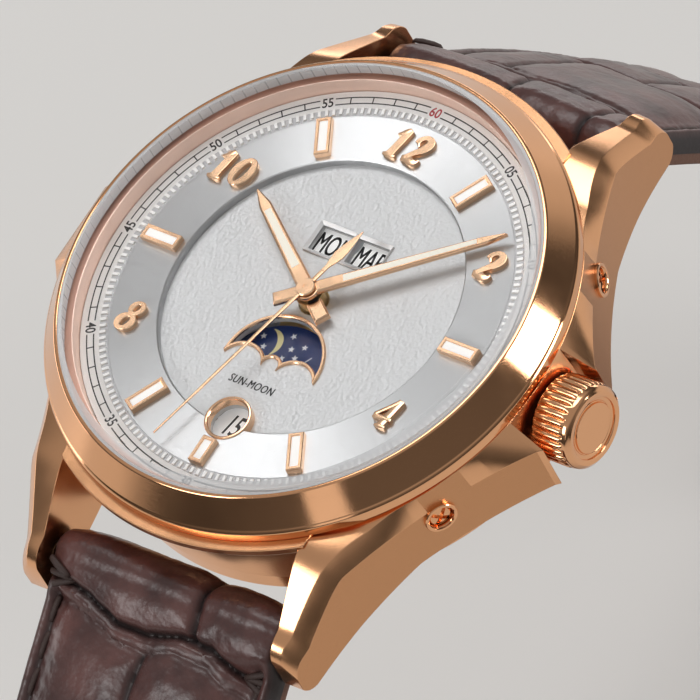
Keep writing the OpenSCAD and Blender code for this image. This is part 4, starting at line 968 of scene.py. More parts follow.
calendar = {
    "halfH": 1.25, "holeH": 0.975, "sides": [((-3.1, -0.025), (-2.85, -0.25)), ((-0.025, 3.0), (0.2, 2.8))],
    "rise": 0.2, "wall": 0.16, "inset": 0.03, "foot": (0.02, 0.12),
}
moon = {
    "footZ": 0.16, "scallop": (2.17, 1, 1.9), "middle": (0.25, 0.9),  # aside, below the arc's centre, radius
    "rim": [(0.25, 0), (0.25, 0.14), (0.19, 0.2), (0.06, 0.2), (0, 0.14), (0, -0.1)],
}
dateRim = [(0.25, 0.06), (0.2, 0.1), (0.12, 0.11), (0.05, 0.08), (0, 0)]


def circleMeet(x0, y0, r0, x1, y1, r1):
    # The upper of the two points that the circles share
    d = hypot(x1 - x0, y1 - y0)
    a = (d * d + r0 * r0 - r1 * r1) / (2 * d)
    h = sqrt(max(0, r0 * r0 - a * a))
    px, py = x0 + a * (x1 - x0) / d, y0 + a * (y1 - y0) / d
    points = [(px + s * h * (y1 - y0) / d, py - s * h * (x1 - x0) / d) for s in (1, -1)]
    return max(points, key=lambda p: p[1])


def moonOutline(grow):
    sideX, down, sideR = moon["scallop"]
    midDown, midR = moon["middle"]
    y0 = window["moonArcY"]
    foot = y0 - moon["footZ"] - grow
    bigR, sideR, midR = window["moonArcR"] + grow, sideR - grow, midR - grow
    sideY, midY = y0 - down, y0 - midDown
    start = asin((foot - y0) / bigR)
    points = arc(0, y0, bigR, start, pi - start, 60)
    meet = circleMeet(sideX, sideY, sideR, 0, midY, midR)
    inner = atan2(meet[1] - sideY, sideX - meet[0])  # angle on the left scallop, mirrored
    outer = pi - asin((foot - sideY) / sideR)
    points += arc(-sideX, sideY, sideR, outer, inner, 24)
    a = atan2(meet[1] - midY, meet[0])
    points += arc(0, midY, midR, pi - a, a, 16)
    return points + arc(sideX, sideY, sideR, pi - inner, pi - outer, 24)


def makeFrames():
    c = calendar
    z = window["plateZ"]
    y, hole = [(window["calendarY"] - h, window["calendarY"] + h) for h in (c["halfH"], c["holeH"])]
    sides = []
    for x, inner in c["sides"]:
        loops = [rectangle(x, y, z), rectangle(x, y, z + c["wall"])]
        loops += [rectangle(x, y, z + c["rise"], c["inset"])]
        sides.append(drawn(loops + [rectangle(inner, hole, z - down) for down in c["foot"]], "none"))
    settle("calendarFrame", gathered(sides), "case", windowPaint, ["calendar_frame"], 15)
    loops = [[(x, y, z + height) for x, y in moonOutline(grow)] for grow, height in moon["rim"]]
    settle("moonFrame", drawn(loops, "none"), "case", roseHands, ["moon_frame"], 30)
    rim = [(0, z), (window["rimW"], z), *dateRim]
    ring = lathe([(window["dateR"] + grow, height) for grow, height in rim], 96)
    turned(ring, move(0, -window["dateY"], 0))
    settle("dateFrame", ring, "case", roseHands, ["date_frame"], 30)


sky = {
    "z": -1.735,
    "stars": [
        (-2.63, -3.14), (-2.18, -3.86), (-0.55, -2.43), (-0.14, -3.35), (0.71, -2.9), (-0.39, -4.21),
        (0.5, -3.87),
    ],
    "starR": 0.27, "starWaist": 0.42, "streak": [(1.31, -3.97), (1.65, -3.4)], "streakW": 0.03,
    "moon": {
        "at": (-2.0, -3.41), "turn": 22.5, "outR": 1.04, "outA": 1.43, "inR": 1.4, "inA": 0.827,
        "shift": 0.802,
    },
    "sun": (2.3, -8.6), "sunR": 0.8, "rays": 12, "ray": [(-0.1, 0.9), (0.1, 0.9), (0, 1.25)], "rayT": 0.01,
}


def star(x, y):
    bm = disc(sky["starR"], 10)
    for v in list(bm.verts)[1::2]:
        v.co *= sky["starWaist"]
    return turned(bm, move(x, y, sky["z"]) @ spin(x + y))


def crescent(m):
    bm = bmesh.new()
    rims = []
    for k in range(33):
        a, b = m["outA"] * (k / 16 - 1), m["inA"] * (k / 16 - 1)
        outer = (m["outR"] * cos(a), m["outR"] * sin(a), 0)
        inner = (m["inR"] * cos(b) - m["shift"], m["inR"] * sin(b), 0)
        rims.append([bm.verts.new(p) for p in (outer, inner)])
    for (a, b), (c, d) in zip(rims, rims[1:]):
        bm.faces.new((a, c, d, b))
    return turned(bm, move(*m["at"], sky["z"]) @ spin(radians(m["turn"])))


def makeSky():
    s = sky
    settle("skyStars", gathered([star(x, y) for x, y in s["stars"]]), "sun_moon", starWhite, ())
    (x0, y0), (x1, y1) = s["streak"]
    wide = Vector((y0 - y1, x1 - x0)).normalized() * s["streakW"]
    bm = bmesh.new()
    corners = ((x0, y0, -1), (x0, y0, 1), (x1, y1, 1), (x1, y1, -1))
    bm.faces.new([bm.verts.new((x + wide.x * side, y + wide.y * side, s["z"])) for x, y, side in corners])
    settle("skyStreak", bm, "sun_moon", starWhite, ())
    art = [crescent(s["moon"]), turned(disc(s["sunR"], 48), move(*s["sun"], s["z"]))]
    for k in range(s["rays"]):
        ray = plate(s["ray"], s["z"] - s["rayT"], s["z"])
        art.append(turned(ray, move(*s["sun"], 0) @ spin(tau * k / s["rays"])))
    settle("skyMoon", gathered(art), "sun_moon", paleMoon, ())


discs = {
    "inkZ": 0.008, "word": (2.25, 0.03, 0.1, 0.52, 0.98, 0), "wordZ": -1.15, "today": 15,
    "number": (2.25, 0.03, 0.3, 0.62, 0.92, 0), "numberAt": (-0.2, 0.22), "numberZ": -1.45, "ringT": 0.2,
    "ringR": 12, "label": (0.86, 0.018, 0.12, 0.74, 1.1, 0), "labelAt": (-0.35, -7.2), "labelZ": 0.012,
    # piece, body, words, place of the pivot, of the shown word, which one shows, way round
    "words": [
        ("dayPrint", "day", ["MON", "TUE", "WED", "THU", "FRI", "SAT", "SUN"], -6, -1.62, 0, 1),
        (
            "monthPrint", "month",
            ["JAN", "FEB", "MAR", "APR", "MAY", "JUN", "JUL", "AUG", "SEP", "OCT", "NOV", "DEC"],
            6, 1.5, 2, -1,
        ),
    ],
}


def makeCalendarPrint():
    w, d = window, discs
    for name, body, words, middle, at, shown, way in d["words"]:
        pivot = move(middle, w["calendarY"], d["wordZ"] + d["inkZ"])
        parts = []
        for k, word in enumerate(words):
            turn = spin((k - shown) * tau / len(words) * way)
            parts.append(turned(inked(word, *d["word"]), pivot @ turn @ move(at - middle, 0, 0)))
        settle(name, gathered(parts), body, blackInk, ())
    low, high = d["numberZ"] - d["ringT"], d["numberZ"]
    ring = lathe([(w["ringIn"], low), (d["ringR"], low), (d["ringR"], high), (w["ringIn"], high)], 180)
    # The date ring takes the glowing white of painted light
    settle("dateRing", ring, "date", discWhiteGlow, ["date_ring"], 30)
    x, y = d["numberAt"]
    at = move(x, y - w["dateY"], high + d["inkZ"])
    turns = [spin((day - d["today"]) * tau / 31) for day in range(1, 32)]
    parts = [turned(lettering(str(day), *d["number"]), turn @ at) for day, turn in enumerate(turns, 1)]
    settle("datePrint", gathered(parts), "date", blackInk, ())
    words = turned(inked("SUN-MOON", *d["label"]), move(*d["labelAt"], w["plateZ"] + d["labelZ"]))
    settle("sunMoonPrint", words, "case", blackInk, ())


makeFrames()
makeSky()
makeCalendarPrint()
print("windows ready")

# Hands

hands = {
    "hour": {
        "turn": 304.27, "length": 10.2, "width": 1.1, "low": -0.1, "high": 0.38, "hub": 0.92, "slim": 0.78,
    },
    "minute": {
        "turn": 51.25, "length": 14.1, "width": 1.0, "low": 0.6, "high": 0.96, "hub": 0.84, "slim": 0.62,
    },
    "seconds": {"turn": 194.7, "length": 14.1, "low": 1.02, "high": 1.12, "hub": 0.68},
    "edge": 0.04, "bevel": 0.14, "heel": 0.1, "tail": -2.4, "rootY": 1.5, "point": 1.5, "tipW": 0.06,
    "inlayY": (2.6, 0.6), "inlayW": (0.52, 0.55), "inlayZ": (0.08, 0.03), "inlayEdge": 0.02,
    "needle": [(-0.16, -1.6), (0.16, -1.6)], "needleTip": 0.055, "needleEdge": 0.025,
    "leaf": [(0.16, -1.6), (0.15, -2.0), (0.3, -2.5), (0.42, -3.1), (0.36, -3.8), (0.18, -4.7), (0, -5.4)],
    "cap": [(0, 0.02), (-0.06, 0.07)], "pip": [(0.17, 0.07), (0.15, 0.02), (0, 0.02)], "arbor": (0.2, -5),
}


def makeBaton(kind, body):
    h = hands[kind]
    bevel, w, low, high = hands["bevel"], h["width"] / 2, h["low"], h["high"]
    tip, slim = h["length"] - hands["point"], w * h["slim"]
    half = [(w, hands["tail"]), (w, hands["rootY"]), (slim, tip), (hands["tipW"], h["length"])]
    outline = [(-w, hands["tail"])] + half + [(-x, y) for x, y in half[:0:-1]]
    flat = 1 - bevel / w
    inset = [(x * flat, y - bevel if y > 0 else y + hands["heel"]) for x, y in outline]
    steps = ((outline, low), (outline, high - bevel), (inset, high))
    blade = drawn([[(x, y, z) for x, y in points] for points, z in steps])
    blade = soften(blade, hands["edge"] / 2, 2, 20, high - 0.2)
    hub = soften(rod(h["hub"], low, high - 0.012), hands["edge"], 2, 60)
    (root, back), (wide, narrow), (sunk, proud) = hands["inlayY"], hands["inlayW"], hands["inlayZ"]
    side = [(w * wide, root), (slim * narrow, tip - back)]
    inlay = plate([(-w * wide, root)] + side + [(-slim * narrow, tip - back)], high - sunk, high + proud)
    inlay = soften(inlay, hands["inlayEdge"], 2, 40)
    turn = clockTurn(h["turn"])
    whole = turned(gathered([blade, hub]), turn)
    settle(f"{kind}Hand", whole, body, roseHands, [f"{kind}_hand"], 30)
    settle(f"{kind}Inlay", turned(inlay, turn), body, creamInlayGlow, [f"{kind}_hand_inlay"], 30)


def makeSeconds():
    c = hands
    h = c["seconds"]
    low, high = h["low"], h["high"]
    needle = c["needle"] + [(c["needleTip"], h["length"]), (-c["needleTip"], h["length"])]
    leaf = c["leaf"] + [(-x, y) for x, y in c["leaf"][-2::-1]]
    parts = [plate(outline, low, high) for outline in (needle, leaf)]
    parts = [soften(part, c["needleEdge"], 2, 40, high - 0.01) for part in parts]
    cap = [(h["hub"] + grow, high + rise) for grow, rise in c["cap"]]
    pip = [(r, high + rise) for r, rise in c["pip"]]
    parts.append(lathe([(0, low), (h["hub"], low)] + cap + pip, 64))
    parts.append(rod(*c["arbor"], low, 32))
    whole = turned(gathered(parts), clockTurn(h["turn"]))
    settle("secondsHand", whole, "seconds", roseHands, ["seconds_hand"], 30)


makeBaton("hour", "hours")
makeBaton("minute", "minutes")
makeSeconds()
print("hands ready")

# Strap halves: padded alligator leather with folds and scales, its stitches and its lining

strap = {
    "halfT": 1.25, "low": -0.45, "wrapR": 2.25, "under": 0.9, "lead": (20, 31, 31),
    "length": {12: 69.2, 6: 119}, "tip": {12: 0, 6: 9},
    "width": [(0, 19.56), (8, 19.56), (60, 18), (200, 18)],
    "pad": [(0, 1), (4, 0.97), (20, 0.78), (50, 0), (200, 0)],
    "across": 104, "fine": 0.17, "coarse": 0.5, "fineTo": 24, "wrap": [-9.3 + 0.7 * k for k in range(9)],
    "wrapTo": -3.0, "groove": 1.15, "holes": {"count": 7, "pitch": 6.5, "last": 20, "cut": (1, -2.5, 3, 40)},
    "slot": ((-1.3, 1.3), (-2.6, 3), (-3, 3)), "slotAt": 70, "liningGap": 0.06,
    "lining": [(0.12, -1.25), (0, -1.13), (0, -0.45)], "liningFrom": 2.4, "liningTo": {12: 67, 6: 119},
    "first": {  # line of the first cross fold, as (x, s)
        12: [(-9.8, 1.9), (-3, 2.2), (3, 2.6), (9.8, 3.2)],
        6: [(-9.8, 1.2), (-6, 1.8), (-3, 2.9), (-0.5, 2.9), (2.5, 2.1), (4.8, 2.3), (6.5, 3.0), (9.8, 3.8)],
    },
    "band": {12: 1.25, 6: 1.35}, "rowStart": {12: 13.4, 6: 11.6}, "rowPitch": 6.4, "rowShrink": 0.97,
    "columns": {12: [[0.1, 7.0], [0.1, 7.0], [-3.6]], 6: [[3.1], [3.1], [-0.3]]},
    "later": [(-2.9, 3.1), (-5.6, 0.4, 5.9)], "calmFrom": 40,
}


def pathStep(arc, s):
    start, turn = radians(arc[1]), radians(arc[2] - arc[1])
    slope = start + turn * s / arc[0]
    if abs(turn) < 1e-3:
        return s * cos(start), -s * sin(start), slope
    r = arc[0] / turn
    return r * (sin(slope) - sin(start)), r * (cos(slope) - cos(start)), slope


def longPath():
    # Straight from the lugs, round to flat, and along the table
    lead = strap["lead"]
    drop = dialZ + case["barZ"] - strap["halfT"] + pathStep(lead, lead[0])[1]
    slope = radians(lead[1])
    bend = drop / (cos(slope) + 1) * (pi - slope)
    return [lead, (bend, lead[1], 180), (strap["length"][6] - lead[0] - bend, 180, 180)]


# Length, first and last slope in degrees
paths = {12: [(6, 52, 52), (34, 52, 72), (16, 72, 72), (14, 72, 140)], 6: longPath()}


def pathPoint(path, s):
    y = z = 0
    for k, arc in enumerate(path):
        here = pathStep(arc, s if k == len(path) - 1 else min(s, arc[0]))
        y, z = y + here[0], z + here[1]
        if s <= arc[0] or k == len(path) - 1:
            return y, z, here[2]
        s -= arc[0]


def strapPoint(half, s, x, n):
    y, z, slope = pathPoint(paths[half], max(0, s))
    slope += min(0, s) / strap["wrapR"]
    side = 1 if half == 12 else -1
    return x, side * (case["barY"] + y + n * sin(slope)), case["barZ"] + z + n * cos(slope)


def onStrap(bm, half, s, x=0.0):
    y, z, slope = pathPoint(paths[half], s)
    side = 1 if half == 12 else -1
    place = move(x, side * (case["barY"] + y), case["barZ"] + z)
    return outward(turned(bm, place @ spin(-side * slope, "X") @ Matrix.Diagonal((1, side, 1, 1))))


def strapHalfW(half, s):
    w = between(s, strap["width"]) / 2
    tip, length = strap["tip"][half], strap["length"][half]
    past = (s - length + tip) / tip if tip else 0
    return w * sqrt(max(0, 1 - past * past)) if past > 0 else w


def strapRows(half):
    rows, pitch = [strap["rowStart"][half]], strap["rowPitch"]
    while rows[-1] < strap["length"][half]:
        rows.append(rows[-1] + pitch)
        pitch *= strap["rowShrink"]
    return rows


rowsOf = {half: strapRows(half) for half in (12, 6)}


def wobble(x, y, z=0.0):
    return noise.noise(Vector((x, y, z)))


def smooth(a, b, value):
    t = min(1, max(0, (value - a) / (b - a)))
    return t * t * (3 - 2 * t)


def bell(d, width):
    return exp(-(d / width) ** 2)


# Folds and creases as (depth, width), fades as (start, end); inset, edge and power as (round the bar, sewn)
relief = {
    "firstFold": (0.62, 0.3), "bandFold": (0.13, 0.2), "rowFold": (0.34, 0.3), "lateFold": (0.2, 0.3),
    "column": (0.3, 0.26), "lateColumn": (0.3, 0.2), "firstColumn": (0.42, 0.26), "columnFade": (-4.5, -3.2),
    "sewn": (1.4, 3.2), "inset": (0.15, 1.75), "edge": (0.8, 0.58), "power": (7, 4), "roll": (0.35, 0.45),
    "scale": (0.26, 2.1), "nearBar": (0.16, 0.5), "barAt": 0.15, "stitch": (0.3, 0.3), "fade": (0.5, 2.2),
    "maskFade": (0.4, 1.5), "maskEdge": (0.1, 0.6), "pucker": (0.09, 0.75), "puckerAt": 0.1,
}


def foldsAt(half, x):
    # Cross folds at this x: place along the strap, depth, width
    c = strap
    first = between(x, c["first"][half]) + 0.12 * wobble(x * 0.9, 3.1, half)
    second = first + c["band"][half] + 0.3 * wobble(x * 0.4, 7.7, half)
    rows = []
    for k, row in enumerate(rowsOf[half]):
        kind = "rowFold" if row < c["calmFrom"] else "lateFold"
        rows.append((row + 0.7 * wobble(x * 0.22, k * 3.3, half), *relief[kind]))
    return [(first, *relief["firstFold"]), (second, *relief["bandFold"])] + rows


def hide(half, s, x, w):
    # Height of the top over the strap's middle at a point, and a mask for the colour: painted shade in the
    # folds, scale creases, puckered band and stitch groove, and dark edge paint near the edge
    c, r = strap, relief
    top = c["halfT"] + between(max(0, s), c["pad"])
    body = top - c["low"]
    sewn = smooth(*r["sewn"], s)
    inset, edge, power = [a + (b - a) * sewn for a, b in (r["inset"], r["edge"], r["power"])]
    rise = 1 - min(1, abs(x) / max(0.1, w - inset)) ** power
    n = c["low"] + body * (edge + (1 - edge) * rise)
    fromEdge = w - abs(x)
    fade = fromEdge + 2 * (1 - sewn)
    n -= r["roll"][0] * body * (1 - smooth(0, r["roll"][1], fromEdge)) ** 2
    folds = foldsAt(half, x)
    reach = [abs(s - at) for at, depth, width in folds]
    dip = sum(depth * bell(d, width) for d, (at, depth, width) in zip(reach, folds) if d < 1.5)
    # The mask darkens the colour in the folds and creases: painted shade
    mask = max(bell(d, 0.3) * min(1, depth * 2) for d, (at, depth, width) in zip(reach, folds))
    row = sum(s > at for at, depth, width in folds)
    columns = c["columns"][half][row] if row < len(c["columns"][half]) else c["later"][row % 2]
    inBand = folds[0][0] < s < folds[1][0]
    across = 9.0
    kind = "firstColumn" if row == 0 and half == 6 else "column" if s < c["calmFrom"] else "lateColumn"
    depth, width = r[kind]
    for at in () if inBand else columns:
        d = abs(x - at - 0.5 * wobble(s * 0.22, at, half))
        across = min(across, d)
        dip += depth * bell(d, width) * smooth(*r["columnFade"], s)
        mask = max(mask, bell(d, 0.24))
    # Scales bulge between their creases
    dip += r["scale"][0] * (1 - smooth(0, r["scale"][1], min(*reach, across)))
    if inBand:  # the puckered band behind the first fold
        dip += 0.1 + 0.03 * sin(s * 21 + 6 * wobble(x * 0.35, s * 0.8))
        dip += 0.05 * wobble(x * 1.7, s * 5, 5)
        mask = max(mask, 0.12 + 0.4 * wobble(x * 1.2, s * 7, 1))
    dip += r["nearBar"][0] * bell(s + r["barAt"], r["nearBar"][1])
    dip += 0.1 * wobble(x * 0.3, s * 0.3, 9) + 0.035 * wobble(x * 1.6, s * 1.6, 4)
    trench = fromEdge - c["groove"]
    stitch = sewn * bell(trench, r["stitch"][1])
    dip = dip * smooth(*r["fade"], fade) + r["stitch"][0] * stitch
    dip += sewn * r["pucker"][0] * bell(trench - r["puckerAt"], r["pucker"][1]) * wobble(x * 0.6, s * 2.6, 2)
    mask *= smooth(*r["maskFade"], fade)
    return n - dip, max(mask, 0.85 * stitch, 1 - smooth(*r["maskEdge"], fromEdge), 0)


def strapStations(half):
    c = strap
    end, tip = c["length"][half], c["tip"][half]
    out, s = list(c["wrap"]), c["wrapTo"]
    while s < end - tip - 0.3:
        out.append(s)
        s += c["fine"] if s < c["fineTo"] else c["coarse"]
    if tip:
        return out + [end - tip + (tip - 0.03) * sin(radians(3 * k)) for k in range(31)]
    return out + [end]


def strapHoles():
    h = strap["holes"]
    first = strap["length"][6] - h["last"] - (h["count"] - 1) * h["pitch"]
    return [onStrap(rod(*h["cut"]), 6, first + h["pitch"] * k) for k in range(h["count"])]


def makeStrap(half):
    c = strap
    stations = strapStations(half)
    spread = [2 * k / c["across"] - 1 for k in range(c["across"] + 1)]
    top = [sin(quarter * t) * 0.25 + t * 0.75 for t in spread]
    around = [(0, "low"), (-1, "low"), (-1, "side")] + [(t, "top") for t in top]
    around += [(1, "side"), (1, "low"), (0, "low")]
    bm = bmesh.new()
    bmesh.ops.create_grid(bm, x_segments=len(around) - 1, y_segments=len(stations) - 1, size=1)
    crease = bm.verts.layers.float.new("crease")
    for v in bm.verts:
        t, kind = around[round((v.co.x + 1) / 2 * (len(around) - 1))]
        s = stations[round((v.co.y + 1) / 2 * (len(stations) - 1))]
        w = strapHalfW(half, s)
        x = t * w
        under = c["low"] + (c["under"] - c["low"]) * (1 - smooth(0, 1.6, s))
        n, mask = hide(half, s, x, w)
        # Sides and underside take the full mask: dark edge paint
        if kind != "top":
            n, mask = under if kind == "low" else 0.45 * under + 0.55 * n, 1
        # The mask goes to the "crease" attribute, which darkens the colour: painted shade in the folds, dark
        # paint on the edges
        v[crease] = mask
        v.co = strapPoint(half, s, x, max(n, under))
    bmesh.ops.remove_doubles(bm, verts=bm.verts, dist=1e-4)
    bmesh.ops.edgeloop_fill(bm, edges=[e for e in bm.edges if e.is_boundary])
    whole = carved(outward(bm), strapHoles() if half == 6 else [onStrap(box(*c["slot"]), 12, c["slotAt"])])
    name, body, node = f"strap{half}Leather", f"strap_{half}", f"strap_{half}_leather"
    piece = settle(name, whole, body, alligator, [node], 60, False)


def makeLining(half):
    c = strap
    first, last, tip = c["liningFrom"], c["liningTo"][half], c["tip"][half]
    stations = [first + (last - first - 0.02) * k / 90 for k in range(91)]
    if tip:
        stations = [s for s in stations if s < last - tip]
        stations += [last - tip + (tip - 0.03) * sin(radians(6 * k)) for k in range(16)]
    loops = []
    for s in stations:
        w = strapHalfW(half, s) - c["liningGap"]
        outline = [(cut - w, n) for cut, n in c["lining"]] + [(w - cut, n) for cut, n in c["lining"][::-1]]
        loops.append([strapPoint(half, s, x, n) for x, n in outline])
    bm = drawn(loops)
    if half == 6:
        bm = carved(bm, strapHoles())
    body, node = f"strap_{half}", f"strap_{half}_lining"
    settle(f"strap{half}Lining", bm, body, liningLeather, [node], 30)


stitches = {
    # place along the thread, share of its radius, dip
    "profile": [
        (-0.5, 0.5, -0.5), (-0.42, 0.85, -0.1), (-0.2, 1, 0.12),
        (0.2, 1, 0.12), (0.42, 0.85, -0.1), (0.5, 0.5, -0.5),
    ],
    "sides": 8, "start": 3.6, "pitch": 2.55, "endGap": 5, "size": (1.95, 0.24), "lift": 0.1, "lean": 4,
    "corner": {
        "size": (2.1, 0.26), "at": (1.9, 2.35, 2.8), "edge": 1.25, "step": 0.15, "fold": 2.6, "lift": 0.16,
        "fan": 25,
    },
    "keeper": {"size": (0.85, 0.11), "count": 8, "pitch": 1.12, "edge": 0.55, "sunk": 0.02},
}


def stitchShape(length, radius):
    # One stitch: a short thread that dips into the leather at both ends
    turns = [tau * k / stitches["sides"] for k in range(stitches["sides"])]
    return drawn([
        [(r * radius * cos(a), y * length, (z + 0.75 * r * sin(a)) * radius) for a in turns]
        for y, r, z in stitches["profile"]
    ])


def stitched(kind, half, s, at, w, turn):
    place = move(0, 0, hide(half, s, at, w)[0] + kind["lift"]) @ spin(radians(turn))
    return onStrap(turned(stitchShape(*kind["size"]), place), half, s, at)


def makeStitches(half):
    t, corner = stitches, stitches["corner"]
    parts = []
    run = strap["length"][half] - strap["tip"][half] - t["endGap"]
    for k in range(int(run / t["pitch"])):
        s = t["start"] + t["pitch"] * k
        w = strapHalfW(half, s)
        for side in (-1, 1):
            turn = t["lean"] * (1 + wobble(s * 3, side))
            parts.append(stitched(t, half, s, side * (w - strap["groove"]), w, turn))
    for side in (-1, 1):
        for k, s in enumerate(corner["at"]):
            w = strapHalfW(half, s)
            at = side * (w - corner["edge"] - corner["step"] * k)
            s += between(at, strap["first"][half]) - corner["fold"]
            parts.append(stitched(corner, half, s, at, w, 90 + corner["fan"] * side * (k - 1)))
    settle(f"strap{half}Stitches", gathered(parts), f"strap_{half}", darkThread, (), 60)


leather = {
    # The near-black colour is painted shade in the folds and creases, and dark edge paint on the sides
    "burnish": ((0.05, 0.016, 0.014, 1), (0.13, 0.05, 0.043, 1)), "shadeAndEdgePaint": (0.012, 0.006, 0.006, 1),
    "shine": {"Specular IOR Level": 0.5, "Coat Weight": 0.3, "Coat Roughness": 0.3},
    "roughness": {"To Min": 0.36, "To Max": 0.7}, "bump": 0.3, "relief": 0.00011,
}


def makeHide(spec):
    # Burnished in clouds, dark and dull where the "crease" attribute is high: painted shade in the folds and
    # creases, and dark edge paint on the sides
    finish = newFinish("alligatorLeather", spec["shine"])
    tree = finish.node_tree
    where = useGroup(finish, dialCoords)["Vector"]
    fine = useGroup(finish, grain, {"Scale": 3.2, "Coarse": 0.55, "Vector": where})
    mask = put(tree, "Attribute", attribute_name="crease").outputs["Fac"]
    cloud = put(tree, "TexNoise", {"Scale": 0.32, "Detail": 3, "Vector": where})
    spread = put(tree, "MapRange", {"From Min": 0.35, "From Max": 0.68, "Value": cloud.outputs[0]})
    burnish = mixed(tree, "RGBA", *spec["burnish"], spread.outputs[0])
    dark = mixed(tree, "RGBA", burnish, spec["shadeAndEdgePaint"], mask)
    rough = put(tree, "MapRange", {**spec["roughness"], "Value": mask})
    shade(finish, {"Base Color": dark, "Roughness": rough.outputs[0]})
    return bumped(finish, fine["Height"], spec["bump"], spec["relief"])


alligator = makeHide(leather)
for half in (12, 6):
    makeStrap(half)
    makeLining(half)
    makeStitches(half)
print("straps ready")

# Keepers and buckle, on the half at 12 o'clock

keeper = {
    "fixed": 61.5, "free": 48, "width": 4.2, "wall": 1, "gap": 0.3, "room": 3.1, "round": 0.9,
    # share of the wall, and place across from the middle or in from the edge
    "crown": [(0.9775, 0.55), (0.971, 0.42)], "edge": [(0.04, 0.02), (0.8, 0), (0.97, 0.14), (1, 0.4)],
    "flat": 0.3, "inside": 0.2,
}


def roundedLoop(w, low, high, r, y):
    points = []
    for k, (x, z) in enumerate(((w - r, high - r), (-w + r, high - r), (-w + r, low + r), (w - r, low + r))):
        turns = [radians(90 * k + 15 * j) for j in range(7)]
        points += [(x + r * cos(a), y, z + r * sin(a)) for a in turns]
    return points


def makeKeeper(kind, body):
    k, thread = keeper, stitches["keeper"]
    s = k[kind]
    w = strapHalfW(12, s) + k["gap"]
    low = -strap["halfT"] - k["gap"]
    high = strap["halfT"] + between(s, strap["pad"]) + k["room"]
    half = k["width"] / 2
    steps = [(share * k["wall"], half - cut) for share, cut in k["edge"]]
    steps += [(share * k["wall"], half * y) for share, y in k["crown"]] + [(k["wall"], k["flat"])]
    steps += [(grow, -y) for grow, y in steps[::-1]] + [(0.0, k["inside"] - half), (0.0, half - k["inside"])]
    loops = [roundedLoop(w + grow, low - grow, high + grow, k["round"] + grow * 0.6, y) for grow, y in steps]
    band = onStrap(drawn(loops + [loops[0]], "none"), 12, s)
    settle(f"{kind}Keeper", band, body, alligator, [f"{kind}_keeper"], 60, False)
    parts = []
    for row in (-1, 1):
        y, z = row * (half - thread["edge"]), high + k["wall"] - thread["sunk"]
        for j in range(-thread["count"], thread["count"] + 1):
            stitch = turned(stitchShape(*thread["size"]), move(j * thread["pitch"], y, z) @ spin(quarter))
            parts.append(onStrap(stitch, 12, s))
    settle(f"{kind}KeeperStitches", gathered(parts), body, darkThread, (), 60)


buckle = {
    "place": (0, 41.583, -69.195), "turn": 2.629, "endY": -10.9, "legX": 10.15, "legW": 0.9, "legT": 0.95,
    "legY": (-1.2, -3, -6), "endR": 1.1, "endX": (4, 1.5), "endSwell": (0.2, 0.15), "bend": 1.5, "eyeR": 1.15,
    "legMin": 0.12, "square": 0.7, "bar": (0.75, -9.1, 9.1, 48), "pins": (0.4, -10.25, 10.25, 32),
    "notch": ((-1.1, 1.1), (-12.9, -8.9), (-2, -0.35)),
    "tongueW": 0.9, "tongueT": 0.3, "tongueR": 1.25, "tongueBore": 0.81, "tongueY": (-11.75, -0.6),
    "tongueEdge": 0.12, "eyeEdge": 0.1, "drop": 3.94,
}


def buckleLoops():
    # Squarish sections along the frame's path: down one leg, round the end and up the other
    b = buckle
    legX, legW, eyeR, bend = b["legX"], b["legW"], b["eyeR"], b["bend"]
    turns = [radians(15 * k) for k in range(6)]
    path = [(legX, eyeR * cos(a), legW, max(b["legMin"], eyeR * sin(a))) for a in turns]
    path += [(legX, y, legW, b["legT"]) for y in (*b["legY"], b["endY"] + bend)]
    for k in range(6):
        a = radians(15 * k + 15)
        x, y = legX - bend * (1 - cos(a)), b["endY"] + bend * (1 - sin(a))
        path.append((x, y, legW + b["endSwell"][0] * k / 6, b["legT"] + b["endSwell"][1] * k / 6))
    path += [(x, b["endY"], b["endR"], b["endR"]) for x in b["endX"]]
    path += [(-x, y, w, t) for x, y, w, t in path[::-1]]

    def squared(value, size):
        return copysign(abs(value) ** b["square"], value) * size

    loops = []
    for k, (x, y, w, t) in enumerate(path):
        a, c = path[max(0, k - 1)], path[min(len(path) - 1, k + 1)]
        side = Vector((c[1] - a[1], a[0] - c[0], 0)).normalized()
        loop = []
        for j in range(24):
            turn = tau * j / 24
            u = squared(cos(turn), w)
            loop.append((x + side.x * u, y + side.y * u, squared(sin(turn), t)))
        loops.append(loop)
    return loops


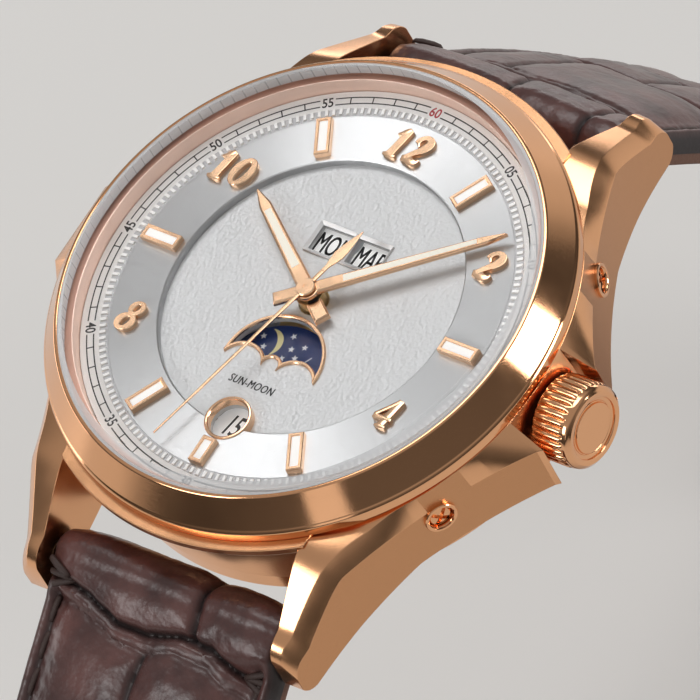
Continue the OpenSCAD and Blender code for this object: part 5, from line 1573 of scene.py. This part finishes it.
def makeBuckle():
    b = buckle
    place = move(*b["place"]) @ spin(radians(b["turn"]), "X")
    across = spin(quarter, "Y")
    body = turned(carved(drawn(buckleLoops()), [box(*b["notch"])]), place)
    settle("buckleFrame", body, "buckle", roseGold, ["buckle_frame"], 40)
    bar = turned(gathered([rod(*b["bar"]), rod(*b["pins"])]), place @ across)
    settle("buckleBar", bar, "strap_12", steelPolished, ["buckle_bar"], 40)
    w, r, bore, edge = b["tongueW"], b["tongueR"], b["tongueBore"], b["eyeEdge"]
    eye = lathe([(bore, -w), (r - edge, -w), (r, edge - w), (r, w - edge), (r - edge, w), (bore, w)], 64)
    start, end = b["tongueY"]
    outline = arc(0, start + w, w, pi, tau, 20) + [(w, start + w), (w, end), (-w, end)]
    blade = soften(plate(outline, -b["tongueT"], b["tongueT"]), b["tongueEdge"], 3, 50)
    turned(blade, spin(radians(b["drop"]), "X"))
    tongue = gathered([turned(eye, across), carved(blade, [turned(rod(bore, -2, 2, 48), across)])])
    settle("buckleTongue", turned(tongue, place), "tongue", roseGold, ["buckle_tongue"], 40)


makeKeeper("fixed", "strap_12")
makeKeeper("free", "loose_keeper")
makeBuckle()
print("keepers and buckle ready")

# Case back, and the finishes of the pieces inside

back = {
    "rim": [(12.6, -8.85), (12.95, -9.2), (16.7, -9.2), (17.4, -8.5)], "seat": [(13.42, -8.6), (12.6, -8.6)],
    "edge": 0.05, "screws": 6, "screwAt": 16.65, "screw": (0.63, -10.2, -8.05, 48),
}


def makeBack():
    b = back
    turns = [spin(radians(30 + 360 / b["screws"] * k)) for k in range(b["screws"])]
    holes = [turned(rod(*b["screw"]), turn @ move(b["screwAt"], 0, 0)) for turn in turns]
    top = [(r, case["bottomZ"]) for r in (b["rim"][-1][0], b["seat"][0][0])]
    ring = carved(soften(lathe(b["rim"] + top + b["seat"]), b["edge"], 2, 20), holes)
    settle("caseBack", ring, "case", roseGold, ["case_back"], 22)


makeBack()
dress(whitePaint, "minute_track")
# The day and month discs take the glowing white of painted light
dress(discWhiteGlow, "day_disc", "month_disc")
dress(nightBlue, "sun_moon_disc")
dress(whiteGasket, "crystal_gasket")
dress(blackRubber, "back_gasket", "crown_gasket")
dress(clearCrystal, "back_crystal")
dress(
    steelPolished, "back_screws", "winding_stem", "crown_tube", "spring_bars", "rotor_bearing",
    "escape_wheel",
    "pallet_fork", "sliding_pinion",
)
dress(steelStriped, "train_bridge", "balance_cock")
dress(steelSoft, "main_plate", "calendar_plate", "movement_holder")
dress(brassBrushed, "barrel", "center_wheel", "third_wheel", "fourth_wheel", "hour_wheel")
dress(brassPolished, "balance_wheel")
dress(rotorGold, "rotor")
print("case back and movement ready")
